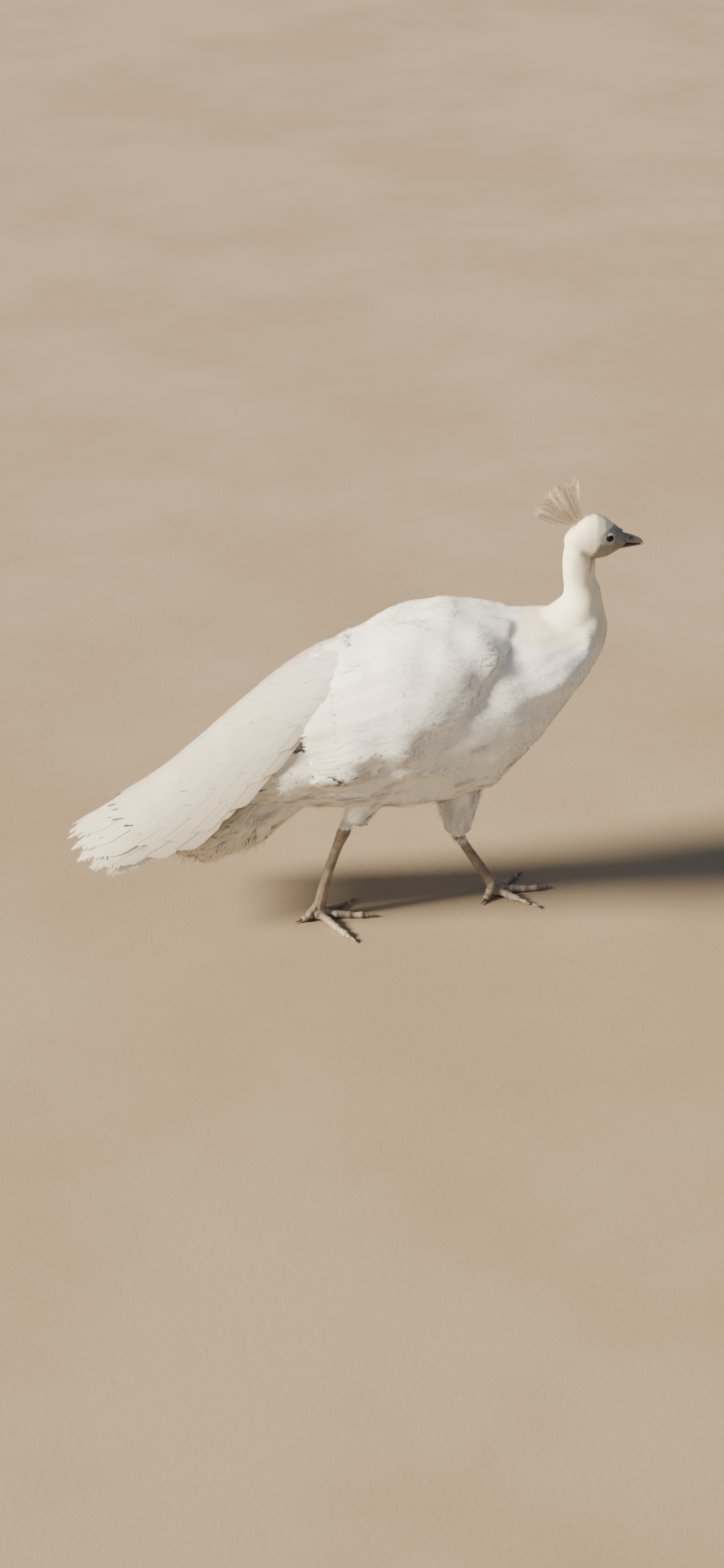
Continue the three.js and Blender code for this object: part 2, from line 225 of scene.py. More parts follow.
# root to tip: the darker root is partly downy base and partly painted shade under the overlapping feathers
base = net.mixed(net.ramped(fromRoot, 0.0, 0.75), take["RootDownAndShade"], take["Tip"])
towardTail = net.ramped(net.parts(take["Place"])[0], -0.17, 0.02, to=(0.9, 0))
base = net.mixed(towardTail, base, take["Warm"])
# the streaks lighten the colour where their bump is high and darken it where it is low: painted shade between
# the barbs
changes = [
    net.times(net.times(net.minus(value, 0.5), take["Variation"]), strength)
    for value, strength in ((tone, 0.16), (streak, 0.35), (patchy, 0.22))
]
level = net.plus(net.plus(net.plus(changes[0], changes[1]), changes[2]), 1.0)
net.feed(give, {"Color": net.scaled(base, level), "Normal": net.bumped(streak, take["Relief"], 0.0006)})

# Bare grey lores, a pale ring round the eye, a grey-green cheek that is partly its own tone and partly
# painted shade, and dark lids, each from its own mask.
headMarks, take, give = groupOf(
    "headMarks",
    {
        "Base": (0.9, 0.89, 0.83, 1),
        "Marks": None,
        "Place": None,
        "Lore": (0.235, 0.237, 0.245, 1),
        "Ring": (0.42, 0.50, 0.49, 1),
        "CheekToneAndShade": (0.30, 0.30, 0.24, 1),
        "Lid": (0.016, 0.015, 0.013, 1),
    },
    {"Color": "Color"},
)
net = headMarks
masks = net.parts(take["Marks"])
uneven = net.times(net.minus(net.noise(take["Place"], 420.0, 3.0, 0.6), 0.5), 0.7)
marked = take["Base"]
for number, label in ((2, "CheekToneAndShade"), (0, "Lore"), (1, "Ring")):
    mask = net.calc("MINIMUM", masks[number], 1.0)
    edge = net.times(net.times(mask, net.rest(mask)), 4.0)
    share = net.calc("ADD", mask, net.times(uneven, edge), clamp=True)
    marked = net.mixed(share, marked, take[label])
net.feed(give, {"Color": net.mixed(net.ramped(masks[0], 1.2, 1.8), marked, take["Lid"])})


def featherMaterial(name, look):
    material, net, shader = materialOf(name)
    place = net.objectPlace()
    values = {key: look[key] for key in ("Tip", "RootDownAndShade", "Variation", "Relief")}
    values |= {"Vane": net.add("UVMap", uv_map="vane").outputs[0], "Lay": net.stored("lay"), "Place": place}
    vane = net.group(vaneDetail, values)
    marked = net.group(headMarks, {"Base": vane["Color"], "Marks": net.stored("marks"), "Place": place})
    # the underside of a feather that lies on the body is lit as its upper side is
    behind = net.add("NewGeometry").outputs["Backfacing"]
    way = net.rest(net.times(behind, 2.0 if look["Lies"] else 0.0))
    net.feed(shader, {
        "Base Color": marked["Color"],
        "Normal": net.scaled(vane["Normal"], way),
        "Roughness": look["Roughness"],
        "Sheen Weight": look["Sheen"],
        "Sheen Roughness": 0.5,
        "Specular IOR Level": 0.25,
    })
    return material


# root colours are darker than tips: partly downy base, partly painted shade where the feathers overlap
plumageLooks = {
    "plumageNeck": {
        "Tip": (0.955, 0.885, 0.68, 1), "RootDownAndShade": (0.93, 0.855, 0.65, 1),
        "Variation": 0.3, "Relief": 0.25, "Roughness": 0.62, "Sheen": 0.15, "Lies": True,
    },
    "plumageBody": {
        "Tip": (0.91, 0.91, 0.86, 1), "RootDownAndShade": (0.89, 0.88, 0.82, 1),
        "Variation": 0.4, "Relief": 0.3, "Roughness": 0.6, "Sheen": 0.12, "Lies": True,
    },
    "plumageFlight": {
        "Tip": (0.92, 0.905, 0.83, 1), "RootDownAndShade": (0.90, 0.88, 0.80, 1),
        "Variation": 0.5, "Relief": 0.35, "Roughness": 0.55, "Sheen": 0.08, "Lies": True,
    },
    # down is paler than the body plumage: white down with painted light standing for light shining through
    # the thin lobes
    "plumageDown": {
        "Tip": (0.95, 0.92, 0.86, 1), "RootDownAndShade": (0.92, 0.88, 0.81, 1),
        "Variation": 0.5, "Relief": 0.2, "Roughness": 0.75, "Sheen": 0.2, "Lies": True,
    },
    "plumageCrest": {
        "Tip": (0.80, 0.68, 0.55, 1), "RootDownAndShade": (0.68, 0.56, 0.44, 1),
        "Variation": 0.4, "Relief": 0.2, "Roughness": 0.65, "Sheen": 0.1, "Lies": False,
    },
}
plumage = {name: featherMaterial(name, look) for name, look in plumageLooks.items()}
print("plumage materials ready")


# A merged copy of CAD nodes as one closed surface of even small faces.
def wholeOf(names, label, voxel, smooth):
    deselect()
    for name in names:
        copy = nodes[name].copy()
        copy.data = nodes[name].data.copy()
        for key in list(copy.keys()):
            del copy[key]
        copy.parent = None
        bpy.context.scene.collection.objects.link(copy)
        copy.select_set(True)
        if name == names[0]:
            bpy.context.view_layer.objects.active = copy
    bpy.ops.object.join()
    whole = bpy.context.object
    whole.data.materials.clear()
    bpy.ops.object.mode_set(mode="EDIT")
    bpy.ops.mesh.select_all(action="SELECT")
    bpy.ops.mesh.remove_doubles(threshold=1e-5)
    bpy.ops.object.mode_set(mode="OBJECT")
    remesh = whole.modifiers.new("remesh", "REMESH")
    remesh.mode = "VOXEL"
    remesh.voxel_size = voxel
    bpy.ops.object.modifier_apply(modifier="remesh")
    softened(whole, 0.5, smooth)
    return keepLargest(whole, label)


def softened(obj, factor, rounds):
    only(obj)
    softer = obj.modifiers.new("softer", "SMOOTH")
    softer.factor = factor
    softer.iterations = rounds
    bpy.ops.object.modifier_apply(modifier="softer")


# Bubbles that the remesh leaves in the gaps between nodes are taken out.
def keepLargest(obj, label):
    only(obj)
    bpy.ops.object.mode_set(mode="EDIT")
    bpy.ops.mesh.select_all(action="SELECT")
    bpy.ops.mesh.separate(type="LOOSE")
    bpy.ops.object.mode_set(mode="OBJECT")
    largest, *others = sorted(bpy.context.selected_objects, key=lambda o: -len(o.data.vertices))
    for part in others:
        bpy.data.objects.remove(part)
    largest.name = label
    return largest


def read(items, key, width, kind=np.float32):
    values = np.empty(len(items) * width, kind)
    items.foreach_get(key, values)
    return values.reshape(-1, width)


def placesOf(obj):
    return read(obj.data.vertices, "co", 3).astype(float)


def place(obj, points):
    obj.data.vertices.foreach_set("co", np.asarray(points, np.float32).ravel())
    obj.data.update()


def surfaceOf(obj):
    mesh = obj.data
    mesh.calc_loop_triangles()
    points = placesOf(obj)
    triangles = read(mesh.loop_triangles, "vertices", 3, np.int32)
    return {
        "points": points,
        "normals": read(mesh.vertex_normals, "vector", 3).astype(float),
        "triangles": triangles,
        "edges": read(mesh.edges, "vertices", 2, np.int32),
        "tree": BVHTree.FromPolygons(points.tolist(), triangles.tolist(), all_triangles=True),
    }


def lerp(a, b, t):
    return a + (b - a) * t


def unit(v):
    return v / np.maximum(np.linalg.norm(v, axis=-1, keepdims=True), 1e-12)


def relaxed(values, edges, times):
    count = len(values)
    near = np.maximum(np.bincount(edges.ravel(), minlength=count).astype(float), 1)
    flat = values.reshape(count, -1)
    one, other = edges.T
    for _ in range(times):
        total = np.stack([
            np.bincount(one, v[other], count) + np.bincount(other, v[one], count) for v in flat.T
        ], 1)
        flat = 0.5 * flat + 0.5 * total / near[:, None]
    return flat.reshape(values.shape)


# The bird's own frame is in millimetres, and the frame that the pieces stand in is in metres.
def toRow(points):
    return np.asarray(points, float) * mm + np.array([shift, 0, 0])


def toBird(points):
    return (points - np.array([shift, 0, 0])) / mm


def smooth01(value, low, high):
    t = np.clip((value - low) / (high - low), 0, 1)
    return t * t * (3 - 2 * t)


# Nearest places on a surface, with the share of each corner of the triangle hit.
def nearest(surface, points):
    find = surface["tree"].find_nearest
    hits = [find(p) for p in points.tolist()]
    place = np.array([tuple(h[0]) for h in hits])
    triangle = np.array([h[2] for h in hits])
    corner = surface["triangles"][triangle]
    a, b, c = (surface["points"][corner[:, k]] for k in range(3))
    ab, ac, ap = b - a, c - a, place - a
    d00, d01, d11 = (ab * ab).sum(1), (ab * ac).sum(1), (ac * ac).sum(1)
    d20, d21 = (ap * ab).sum(1), (ap * ac).sum(1)
    under = np.maximum(d00 * d11 - d01 * d01, 1e-18)
    v = np.clip((d11 * d20 - d01 * d21) / under, 0, 1)
    w = np.clip((d00 * d21 - d01 * d20) / under, 0, 1)
    share = np.stack([1 - v - w, v, w], 1)
    normal = unit((surface["normals"][corner] * share[:, :, None]).sum(1))
    return place, normal, corner, share


def sampled(values, corner, share):
    if values.ndim == 1:
        return (values[corner] * share).sum(1)
    return (values[corner] * share[:, :, None]).sum(1)


def fineOf(names, voxel, smooth):
    fine = wholeOf(names, "fine", voxel, smooth)
    surface = surfaceOf(fine)
    bpy.data.objects.remove(fine)
    return surface


# The head and feet are drawn back on to finer copies of themselves, where these are less than 4 mm away.
def drawOnto(fine, spots, near, share):
    on, _, _, _ = nearest(fine, spots[near])
    share = share * (np.linalg.norm(on - spots[near], axis=1) < 4 * mm)
    spots[near] += (on - spots[near]) * share[:, None]


toeKinds = ("inner", "middle", "outer", "hind")
fleshNodes = ["trunk", "neck", "head", "vent", "thigh_left", "thigh_right", "shank_left", "shank_right"]
fleshNodes += [f"toe_{kind}_{side}" for kind in toeKinds for side in sides]
wingNodes = ["wing_left", "wing_right"]
fleshObject = wholeOf(fleshNodes, "fleshGuide", 2.6 * mm, 8)
outerObject = wholeOf(["trunk", "neck", "head", "tail_coverts"] + wingNodes, "outerGuide", 2.8 * mm, 10)


fineHead = fineOf(["head"], 0.8 * mm, 6)
headFrom = shift + 206 * mm  # where the finer head starts


def ontoHead(points):
    spots = points.copy()
    near = np.nonzero((spots[:, 2] > 0.478) & (spots[:, 0] > headFrom - 0.006))[0]
    share = smooth01(spots[near, 0], headFrom - 0.006, headFrom + 0.006)
    drawOnto(fineHead, spots, near, share * smooth01(spots[near, 2], 0.480, 0.490))
    return spots


swells = {
    "nape": 5.5,  # mm that the back of the crown is drawn forward
    "throat": 5.0,
    "height": 1.5,
    "waves": 26,
    "long": (34, 85),
    "join": (240, 0, 408),  # where the front of the neck runs into the breast without a step
    "joinRounds": 60,
    "joinReach": (16, 40),  # mm, smoothed in full and not at all
}


# Small changes of form under the coat: millimetres in the bird's own frame.
def swollen(points, normals):
    x, y, z = toBird(points).T
    ahead, up = x - 218, z - 511
    nape = swells["nape"] * smooth01(up, -8, 18) * smooth01(-ahead, 12, 30) * (x > 150)
    throat = swells["throat"] * np.exp(-(((up + 37) / 13) ** 2)) * smooth01(ahead, -25, -8) * (x > 150)
    draw = np.random.default_rng(5)
    wave = np.zeros(len(points))
    for _ in range(swells["waves"]):
        way = unit(draw.normal(0, 1, 3) * np.array([0.75, 1.0, 1.15]))
        size = 2 * np.pi / draw.uniform(*swells["long"])
        wave += np.sin(np.stack([x, np.abs(y), z], 1) @ way * size + draw.uniform(0, 6.3))
    wave = wave / np.sqrt(swells["waves"] / 2) * swells["height"]
    onBody = smooth01(z, 150, 200) * (1 - smooth01(x, 190, 225))
    onBody = onBody * (1 - smooth01(z, 380, 440) * smooth01(x, 140, 175))
    moved = points + normals * (wave * onBody * mm)[:, None]
    moved[:, 0] += (nape + throat) * mm
    return moved


for guide in (fleshObject, outerObject):
    before = surfaceOf(guide)
    after = swollen(ontoHead(before["points"]), before["normals"])
    apart = np.linalg.norm((after - toRow([swells["join"]])[0]) * np.array([1, 0.5, 1]), axis=1) / mm
    soft = relaxed(after, before["edges"], swells["joinRounds"])
    place(guide, lerp(after, soft, (1 - smooth01(apart, *swells["joinReach"]))[:, None]))
flesh = surfaceOf(fleshObject)
outer = surfaceOf(outerObject)
print("guides", len(flesh["points"]), len(outer["points"]))


def treeOf(names):
    points, triangles, start = [], [], 0
    for name in names:
        mesh = nodes[name].data
        mesh.calc_loop_triangles()
        points += [tuple(v.co) for v in mesh.vertices]
        triangles += [[start + i for i in t.vertices] for t in mesh.loop_triangles]
        start += len(mesh.vertices)
    return BVHTree.FromPolygons(points, triangles, all_triangles=True)


wingTree = treeOf(wingNodes)
coverTree = treeOf(wingNodes + ["tail_coverts", "tail_left", "tail_right"])


# Lines that the feathers follow: x, y, z, radius. Millimetres in the bird's own frame.
lines = {
    "body": [
        (262, 0, 506, 8), (246, 0, 507, 14), (232, 0, 510, 20), (218, 0, 512, 25), (206, 0, 507, 22),
        (202, 0, 494, 18), (200.5, 0, 480, 17.6), (202.5, 0, 461, 18.2), (207, 0, 444, 21),
        (210, 0, 426, 27), (203, 0, 402, 38), (186, 0, 374, 56), (158, 0, 342, 76), (113, 0, 306, 100),
        (45, 0, 295, 112), (-34, 0, 281, 106), (-103, 0, 263, 92), (-154, 0, 250, 77), (-203, 0, 226, 53),
        (-240, 0, 200, 30), (-262, 0, 180, 20),
    ],
    "thighLeft": [
        (46, 42, 225, 44), (60, 40, 190, 38), (66, 38, 165, 30), (67, 32, 130, 23), (67, 28, 93, 13),
    ],
    "thighRight": [
        (6, -42, 240, 40), (-28, -36, 212, 32), (-42, -33, 196, 26), (-54, -32, 180, 20), (-69, -27, 146, 14),
    ],
    "vent": [
        (-150, 0, 186, 44), (-182, 0, 170, 42), (-215, 0, 152, 36), (-246, 0, 130, 24), (-282, 0, 104, 12),
    ],
}


def lineSamples():
    places, ways, radii = [], [], []
    for rows in lines.values():
        rows = np.array(rows, float)
        fine = np.linspace(0, len(rows) - 1, 8 * len(rows))
        path = np.stack([np.interp(fine, np.arange(len(rows)), rows[:, k]) for k in range(4)], 1)
        places.append(path[:, :3])
        ways.append(unit(np.gradient(path[:, :3], axis=0)))
        radii.append(path[:, 3])
    return np.concatenate(places), np.concatenate(ways), np.concatenate(radii)


def flowOn(surface):
    places, ways, radii = lineSamples()
    places = toRow(places)
    found = np.zeros_like(surface["points"])
    for start in range(0, len(found), 4000):
        p = surface["points"][start : start + 4000]
        far = np.linalg.norm(p[:, None] - places[None], axis=2) / (radii * mm)
        weight = far**-7
        found[start : start + 4000] = (weight[:, :, None] * ways[None]).sum(1) / weight.sum(1)[:, None]
    found = unit(found)
    p, n = surface["points"], surface["normals"]
    x = p[:, 0] - shift
    onSide = np.clip(np.abs(n[:, 1]) * 1.3 - 0.2, 0, 1) * np.clip((0.17 - x) / 0.08, 0, 1) * (p[:, 2] > 0.17)
    found[:, 2] -= 0.35 * onSide  # feathers of the sides slant down
    for _ in range(3):
        found = unit(found - n * (found * n).sum(1)[:, None])
        found = relaxed(found, surface["edges"], 8)
    return unit(found - n * (found * n).sum(1)[:, None])


# Size of the coat at named places: x, |y|, z, then spacing, length, width, depth, loose share.
coat = {
    "foreface": ((246, 8, 508), (1.25, 2.9, 1.9, 0.4, 0)),
    "cheek": ((226, 17, 500), (1.6, 4.4, 2.5, 0.55, 0)),
    "eyeSide": ((238, 14, 513), (1.15, 2.3, 1.4, 0.3, 0)),
    "crown": ((214, 0, 537), (1.7, 5.4, 2.8, 0.6, 0)),
    "nape": ((186, 0, 505), (2.1, 7.4, 3.4, 0.9, 0)),
    "throat": ((222, 0, 488), (1.8, 5.4, 2.7, 0.8, 0)),
    "neckTop": ((202, 17, 480), (2.23, 9.0, 4.1, 1.2, 0)),
    "neck": ((207, 20, 444), (2.79, 11.5, 5.4, 1.8, 0)),
    "neckLow": ((205, 30, 410), (3.50, 14.5, 7.2, 2.6, 0)),
    "breastTop": ((240, 20, 388), (4.23, 17.5, 9.6, 3.4, 0)),
    "shoulder": ((170, 70, 340), (4.86, 20, 11, 6.0, 0)),
    "breast": ((205, 30, 320), (5.22, 22, 12, 7.0, 0)),
    "breastSide": ((130, 85, 280), (5.76, 25, 13.5, 8.0, 0)),
    "breastLow": ((140, 20, 205), (6.48, 28, 15, 7.0, 0)),
    "belly": ((45, 20, 165), (7.2, 34, 17, 7.0, 0.15)),
    "mantle": ((120, 10, 412), (4.86, 20, 11, 6.0, 0)),
    "back": ((20, 20, 424), (5.94, 26, 14, 7.0, 0)),
    "saddle": ((-60, 20, 400), (6.66, 31, 16, 8.0, 0)),
    "wingFront": ((70, 88, 330), (4.93, 20, 11, 5.0, 0)),
    "wing": ((-30, 95, 290), (6.30, 27, 14, 5.0, 0)),
    "flank": ((20, 92, 235), (6.84, 32, 15, 7.0, 0)),
    "flankRear": ((-100, 75, 205), (7.3, 38, 16, 7.0, 0.05)),
    "thighTop": ((40, 75, 210), (6.6, 26, 13, 6.0, 0)),
    "thigh": ((66, 60, 160), (5.4, 21, 10, 4.5, 0.1)),
    "thighLow": ((67, 42, 118), (4.2, 15, 7, 3.0, 0.1)),
    "hock": ((67, 28, 96), (3.4, 11, 5, 1.5, 0)),
    "hockRight": ((-69, 27, 146), (3.4, 11, 5, 1.5, 0)),
    "thighRear": ((-50, 45, 180), (5.0, 19, 9, 4.0, 0.1)),
    "rump": ((-170, 10, 320), (7.6, 32, 16, 8.0, 0)),
    "vent": ((-215, 25, 140), (7.22, 40, 14, 7.0, 0.2)),
    "ventRear": ((-275, 10, 118), (6.19, 36, 12, 4.0, 0.25)),
}


def sizesOn(points):
    p = points - np.array([shift, 0, 0])
    p[:, 1] = np.abs(p[:, 1])
    at = np.array([row[0] for row in coat.values()], float) * mm
    what = np.array([row[1] for row in coat.values()], float)
    far = np.linalg.norm(p[:, None] - at[None], axis=2)
    weight = 1 / (far + 4 * mm) ** 4
    return (weight[:, :, None] * what[None]).sum(1) / weight.sum(1)[:, None]


for surface in (flesh, outer):
    surface["flow"] = flowOn(surface)
    surface["sizes"] = sizesOn(surface["points"])
outer["sizes"][:, 4] = 0
print("lie of the coat ready")


skinLook = {
    "voxel": 3.4 * mm,
    "smooth": 6,
    "footBelow": 132,  # mm, where the mesh of the legs is made finer
    "fineFootTo": {"left": 0.086, "right": 0.128},  # the right hock is the higher one
    "opening": 4.9,  # mm, of the socket before the lids are drawn in
    "lidRadius": 3.7,
    "lidReach": 9.5,
}
eyeLook = {"radius": 6.6, "iris": 3.9, "pupil": 2.1, "lidThickness": 0.5}  # mm
headAt = np.array([218, 0, 511.0])
eyeAt = {side: headAt + np.array([19, sign * 11, 2.2]) for side, sign in sides.items()}


# Faces whose middles pass the test are cut finer.
def cutFiner(obj, cuts, test):
    only(obj)
    bpy.ops.object.mode_set(mode="EDIT")
    bpy.ops.mesh.select_mode(type="FACE")
    bpy.ops.mesh.select_all(action="DESELECT")
    bpy.ops.object.mode_set(mode="OBJECT")
    obj.data.polygons.foreach_set("select", test(read(obj.data.polygons, "center", 3)))
    bpy.ops.object.mode_set(mode="EDIT")
    bpy.ops.mesh.subdivide(number_cuts=cuts)
    bpy.ops.object.mode_set(mode="OBJECT")


# From 0 under feathers to 1 on the bare lores, round the eye and beside the bill.
def bareAt(points):
    x, y, z = (toBird(points) - headAt).T
    ring = 1 - smooth01(np.hypot((x - 18.5) / 1.2, z - 1.8), 6.2, 8.0)
    lores = smooth01(x, 21, 24) * (1 - smooth01(np.abs(z + 1.5), 8.0, 10.5))
    return np.maximum(np.maximum(ring, lores), smooth01(x, 32, 35)) * (points[:, 2] > 0.48)


skin = wholeOf(fleshNodes, "skin", skinLook["voxel"], skinLook["smooth"])
eyeMiddles = [toRow([at + np.array([0, np.sign(at[1]) * 5, 0])])[0] for at in eyeAt.values()]
cutFiner(skin, 2, lambda c: (c[:, 2] > 0.484) & (c[:, 0] > headFrom))
cutFiner(skin, 2, lambda c: c[:, 2] < skinLook["footBelow"] * mm)
near = skinLook["lidReach"] * mm
cutFiner(skin, 1, lambda c: np.min([np.linalg.norm(c - at, axis=1) for at in eyeMiddles], axis=0) < near)
print("skin", len(skin.data.vertices), "vertices")


spots = ontoHead(placesOf(skin))
for side, sign in sides.items():
    names = [f"shank_{side}"] + [f"toe_{kind}_{side}" for kind in toeKinds]
    top = skinLook["fineFootTo"][side]
    near = np.nonzero((spots[:, 2] < top + 0.012) & (np.sign(spots[:, 1]) == sign))[0]
    drawOnto(fineOf(names, 0.9 * mm, 4), spots, near, 1 - smooth01(spots[near, 2], top, top + 0.012))
place(skin, spots)

# Under the feathers the skin lies deeper by the coat's depth.
body = surfaceOf(skin)
x, y, z = body["points"].T
onRightShank = (y < 0) & (x < shift - 0.02) & (x > shift - 0.13)
depth = sizesOn(body["points"])[:, 3] * mm
legBare = np.where(onRightShank, 1 - smooth01(z, 0.132, 0.150), 1 - smooth01(z, 0.088, 0.104))
depth = depth * (1 - bareAt(body["points"])) * (1 - legBare)
thin = smooth01(x, shift - 0.30, shift - 0.20)
depth = relaxed(depth * (0.35 + 0.65 * thin), body["edges"], 12)
spots = swollen(body["points"], body["normals"])
spots -= relaxed(body["normals"], body["edges"], 3) * depth[:, None]

# Toe joints swell a little, with a crease between them.
toeLook = {"joints": (0.34, 0.60, 0.84), "swell": 0.95, "width": 3.4}
legs = {
    "left": {"ball": (115.5, 21, 11), "hock": (46, 25, 121), "heading": 5,
             "toes": {"inner": (-43, 58), "middle": (0, 66), "outer": (43, 54), "hind": (-132, 24)}},
    "right": {"ball": (-115.5, -21, 11), "hock": (-78, -26, 141), "heading": -4,
              "toes": {"inner": (40, 54), "middle": (0, 66), "outer": (-52, 68), "hind": (-152, 24)}},
}
for leg in legs.values():
    ball = toRow([leg["ball"]])[0]
    for angle, reach in leg["toes"].values():
        turn = np.radians(leg["heading"] + angle)
        off = (spots - ball) / mm
        along = off[:, 0] * np.cos(turn) + off[:, 1] * np.sin(turn)
        beside = off[:, 1] * np.cos(turn) - off[:, 0] * np.sin(turn)
        here = (np.abs(beside) < 7.5) & (off[:, 2] < 4) & (along > 8) & (along < reach)
        joints = ((along - reach * at) / toeLook["width"] for at in toeLook["joints"])
        swell = sum(np.exp(-(apart**2)) for apart in joints)
        swell = (swell * 1.6 - 0.6) * toeLook["swell"] * here * smooth01(along, 8, 14)
        outward = body["normals"] * np.array([1, 1, 0.7])
        spots += outward * (swell * mm * (off[:, 2] > -9.5))[:, None]

# The skin is drawn in over each eye, and a crease and a brow are raised beside it.
eyes = {side: toRow([at])[0] for side, at in eyeAt.items()}
for side, sign in sides.items():
    off = (spots - eyes[side]) / mm
    out = sign * off[:, 1]
    radius = np.hypot(off[:, 0], off[:, 2])
    near = (out > -6) & (radius < skinLook["lidReach"])
    share = np.clip((radius - skinLook["opening"]) / (skinLook["lidReach"] - skinLook["opening"]), 0, 1)
    drawn = skinLook["lidRadius"] + (skinLook["lidReach"] - skinLook["lidRadius"]) * share
    inside = radius < skinLook["opening"]
    drawn = np.where(inside, radius * skinLook["lidRadius"] / skinLook["opening"], drawn)
    drawn = np.where(near, drawn, radius)
    scale = drawn / np.maximum(radius, 1e-6)
    over = np.sqrt(np.maximum((eyeLook["radius"] + 0.35) ** 2 - drawn**2, 0))
    toLid = 1 - smooth01(drawn, skinLook["lidRadius"], 6.2)
    ball = np.sqrt(np.maximum(eyeLook["radius"] ** 2 - drawn**2, 0)) + 0.3 * (drawn < eyeLook["radius"])
    raised = np.where(near, np.maximum(out + (over - out) * toLid, ball), out)
    crease = np.exp(-(((drawn - 7.2) / 0.6) ** 2)) * 0.3
    brow = np.exp(-(((off[:, 2] - 8.2) / 1.9) ** 2) - ((off[:, 0] / 9) ** 2)) * 0.3
    bag = np.exp(-(((off[:, 2] + 7.8) / 1.4) ** 2) - (((off[:, 0] - 1) / 7) ** 2)) * 0.35
    onSide = (out > 1) & (radius < 18)
    raised = raised + (brow + bag - crease) * onSide
    raised = np.where(near & inside, over - 1.6, raised)
    spots[:, 0] = eyes[side][0] + off[:, 0] * scale * mm
    spots[:, 2] = eyes[side][2] + off[:, 2] * scale * mm
    spots[:, 1] = eyes[side][1] + sign * raised * mm
place(skin, spots)
softened(skin, 0.35, 1)
for side, sign in sides.items():
    deselect()
    bpy.ops.mesh.primitive_torus_add(
        major_segments=44,
        minor_segments=10,
        major_radius=skinLook["lidRadius"] * mm,
        minor_radius=eyeLook["lidThickness"] * mm,
        rotation=(math.pi / 2, 0, 0),
    )
    lid = bpy.context.object
    bpy.ops.object.transform_apply(location=False, rotation=True, scale=False)
    ring = placesOf(lid) / mm
    x, y, z = ring.T
    radius = np.hypot(x, z)
    corner = np.abs(x / radius) ** 6
    longer = 1 + 0.16 * corner
    x, z = x * longer, z * np.where(z > 0, 0.93, 1.0) - 0.1 * corner
    on = np.sqrt(np.maximum((eyeLook["radius"] + 0.12) ** 2 - x**2 - z**2, 0))
    ring = np.stack([x, sign * on + y * 0.8, z], 1)
    place(lid, ring * mm + eyes[side])
    skin.select_set(True)
    bpy.context.view_layer.objects.active = skin
    bpy.ops.object.join()
only(skin)
bpy.ops.object.shade_smooth()
skin.data.uv_layers.new(name="OFBake")
skin.data.uv_layers["OFBake"].active = True
bpy.ops.object.mode_set(mode="EDIT")
bpy.ops.mesh.select_all(action="SELECT")
bpy.ops.uv.smart_project(angle_limit=math.radians(66), island_margin=0.002)
bpy.ops.object.mode_set(mode="OBJECT")
print("skin unwrapped")


# Middles of the skin's faces on its unwrap, to find the one nearest to a place.
skinSurface = surfaceOf(skin)
corners = read(skin.data.loop_triangles, "loops", 3, np.int32)
unwrap = read(skin.data.uv_layers["OFBake"].data, "uv", 2)[corners].mean(1)


def patchesAt(points):
    find = skinSurface["tree"].find_nearest
    return unwrap[[find(p)[2] for p in points.tolist()]]


# How much of the lores, of the pale ring and of the cheek a place on the head has, from 0 to 1. The cheek
# mask also carries painted shade below the eye and a line of painted shade in the fold between chin and neck.
def marksAt(points):
    x, y, z = (toBird(points) - headAt).T
    fromEye = np.hypot((x - 19) / 1.15, z - 2.2)
    head = (points[:, 2] > 0.47) & (x > -12)
    lore = smooth01(x, 21, 25.5) * (1 - smooth01(np.abs(z + 0.5 + 0.10 * (x - 25)), 10.0, 13.5))
    brow = smooth01(x, 14, 20) * smooth01(z, 5.5, 7.5) * (1 - smooth01(z - 0.16 * (x - 20), 11.0, 13.5))
    lore = np.maximum(lore, brow * 0.9)
    lid = 1 - smooth01(np.hypot(x - 19, z - 2.2), 4.2, 4.7)
    ring = (1 - smooth01(fromEye, 7.0, 10.5)) * (1 - lore) * (1 - lid)
    lore = lore * (1 - lid) + 2 * lid
    # cheek below the eye: partly the skin's own grey-green and partly painted shade
    cheek = smooth01(x - 10 - 0.54 * (z + 3), -1.5, 2.5) * (1 - smooth01(z, -5, -1.5)) * smooth01(z, -30, -24)
    # a line of cheek colour in the fold between chin and neck: painted shade in the crease
    crease = 1 - smooth01(np.abs(x + 1.5 - 0.12 * (z + 26)), 0.6, 2.4)
    crease = crease * smooth01(-z, 19, 23) * (1 - smooth01(-z, 33, 38))
    cheek = np.maximum(cheek, crease * 0.7 * (np.abs(y) > 3))
    return np.stack([lore, ring, cheek], 1) * head[:, None]


def gridFaces(count, rows, cols):
    r, c = np.meshgrid(np.arange(rows - 1), np.arange(cols - 1), indexing="ij")
    a = (r * cols + c).ravel()
    one = np.stack([a, a + 1, a + cols + 1, a + cols], 1)
    return (one[None] + (np.arange(count) * rows * cols)[:, None, None]).reshape(-1, 4)


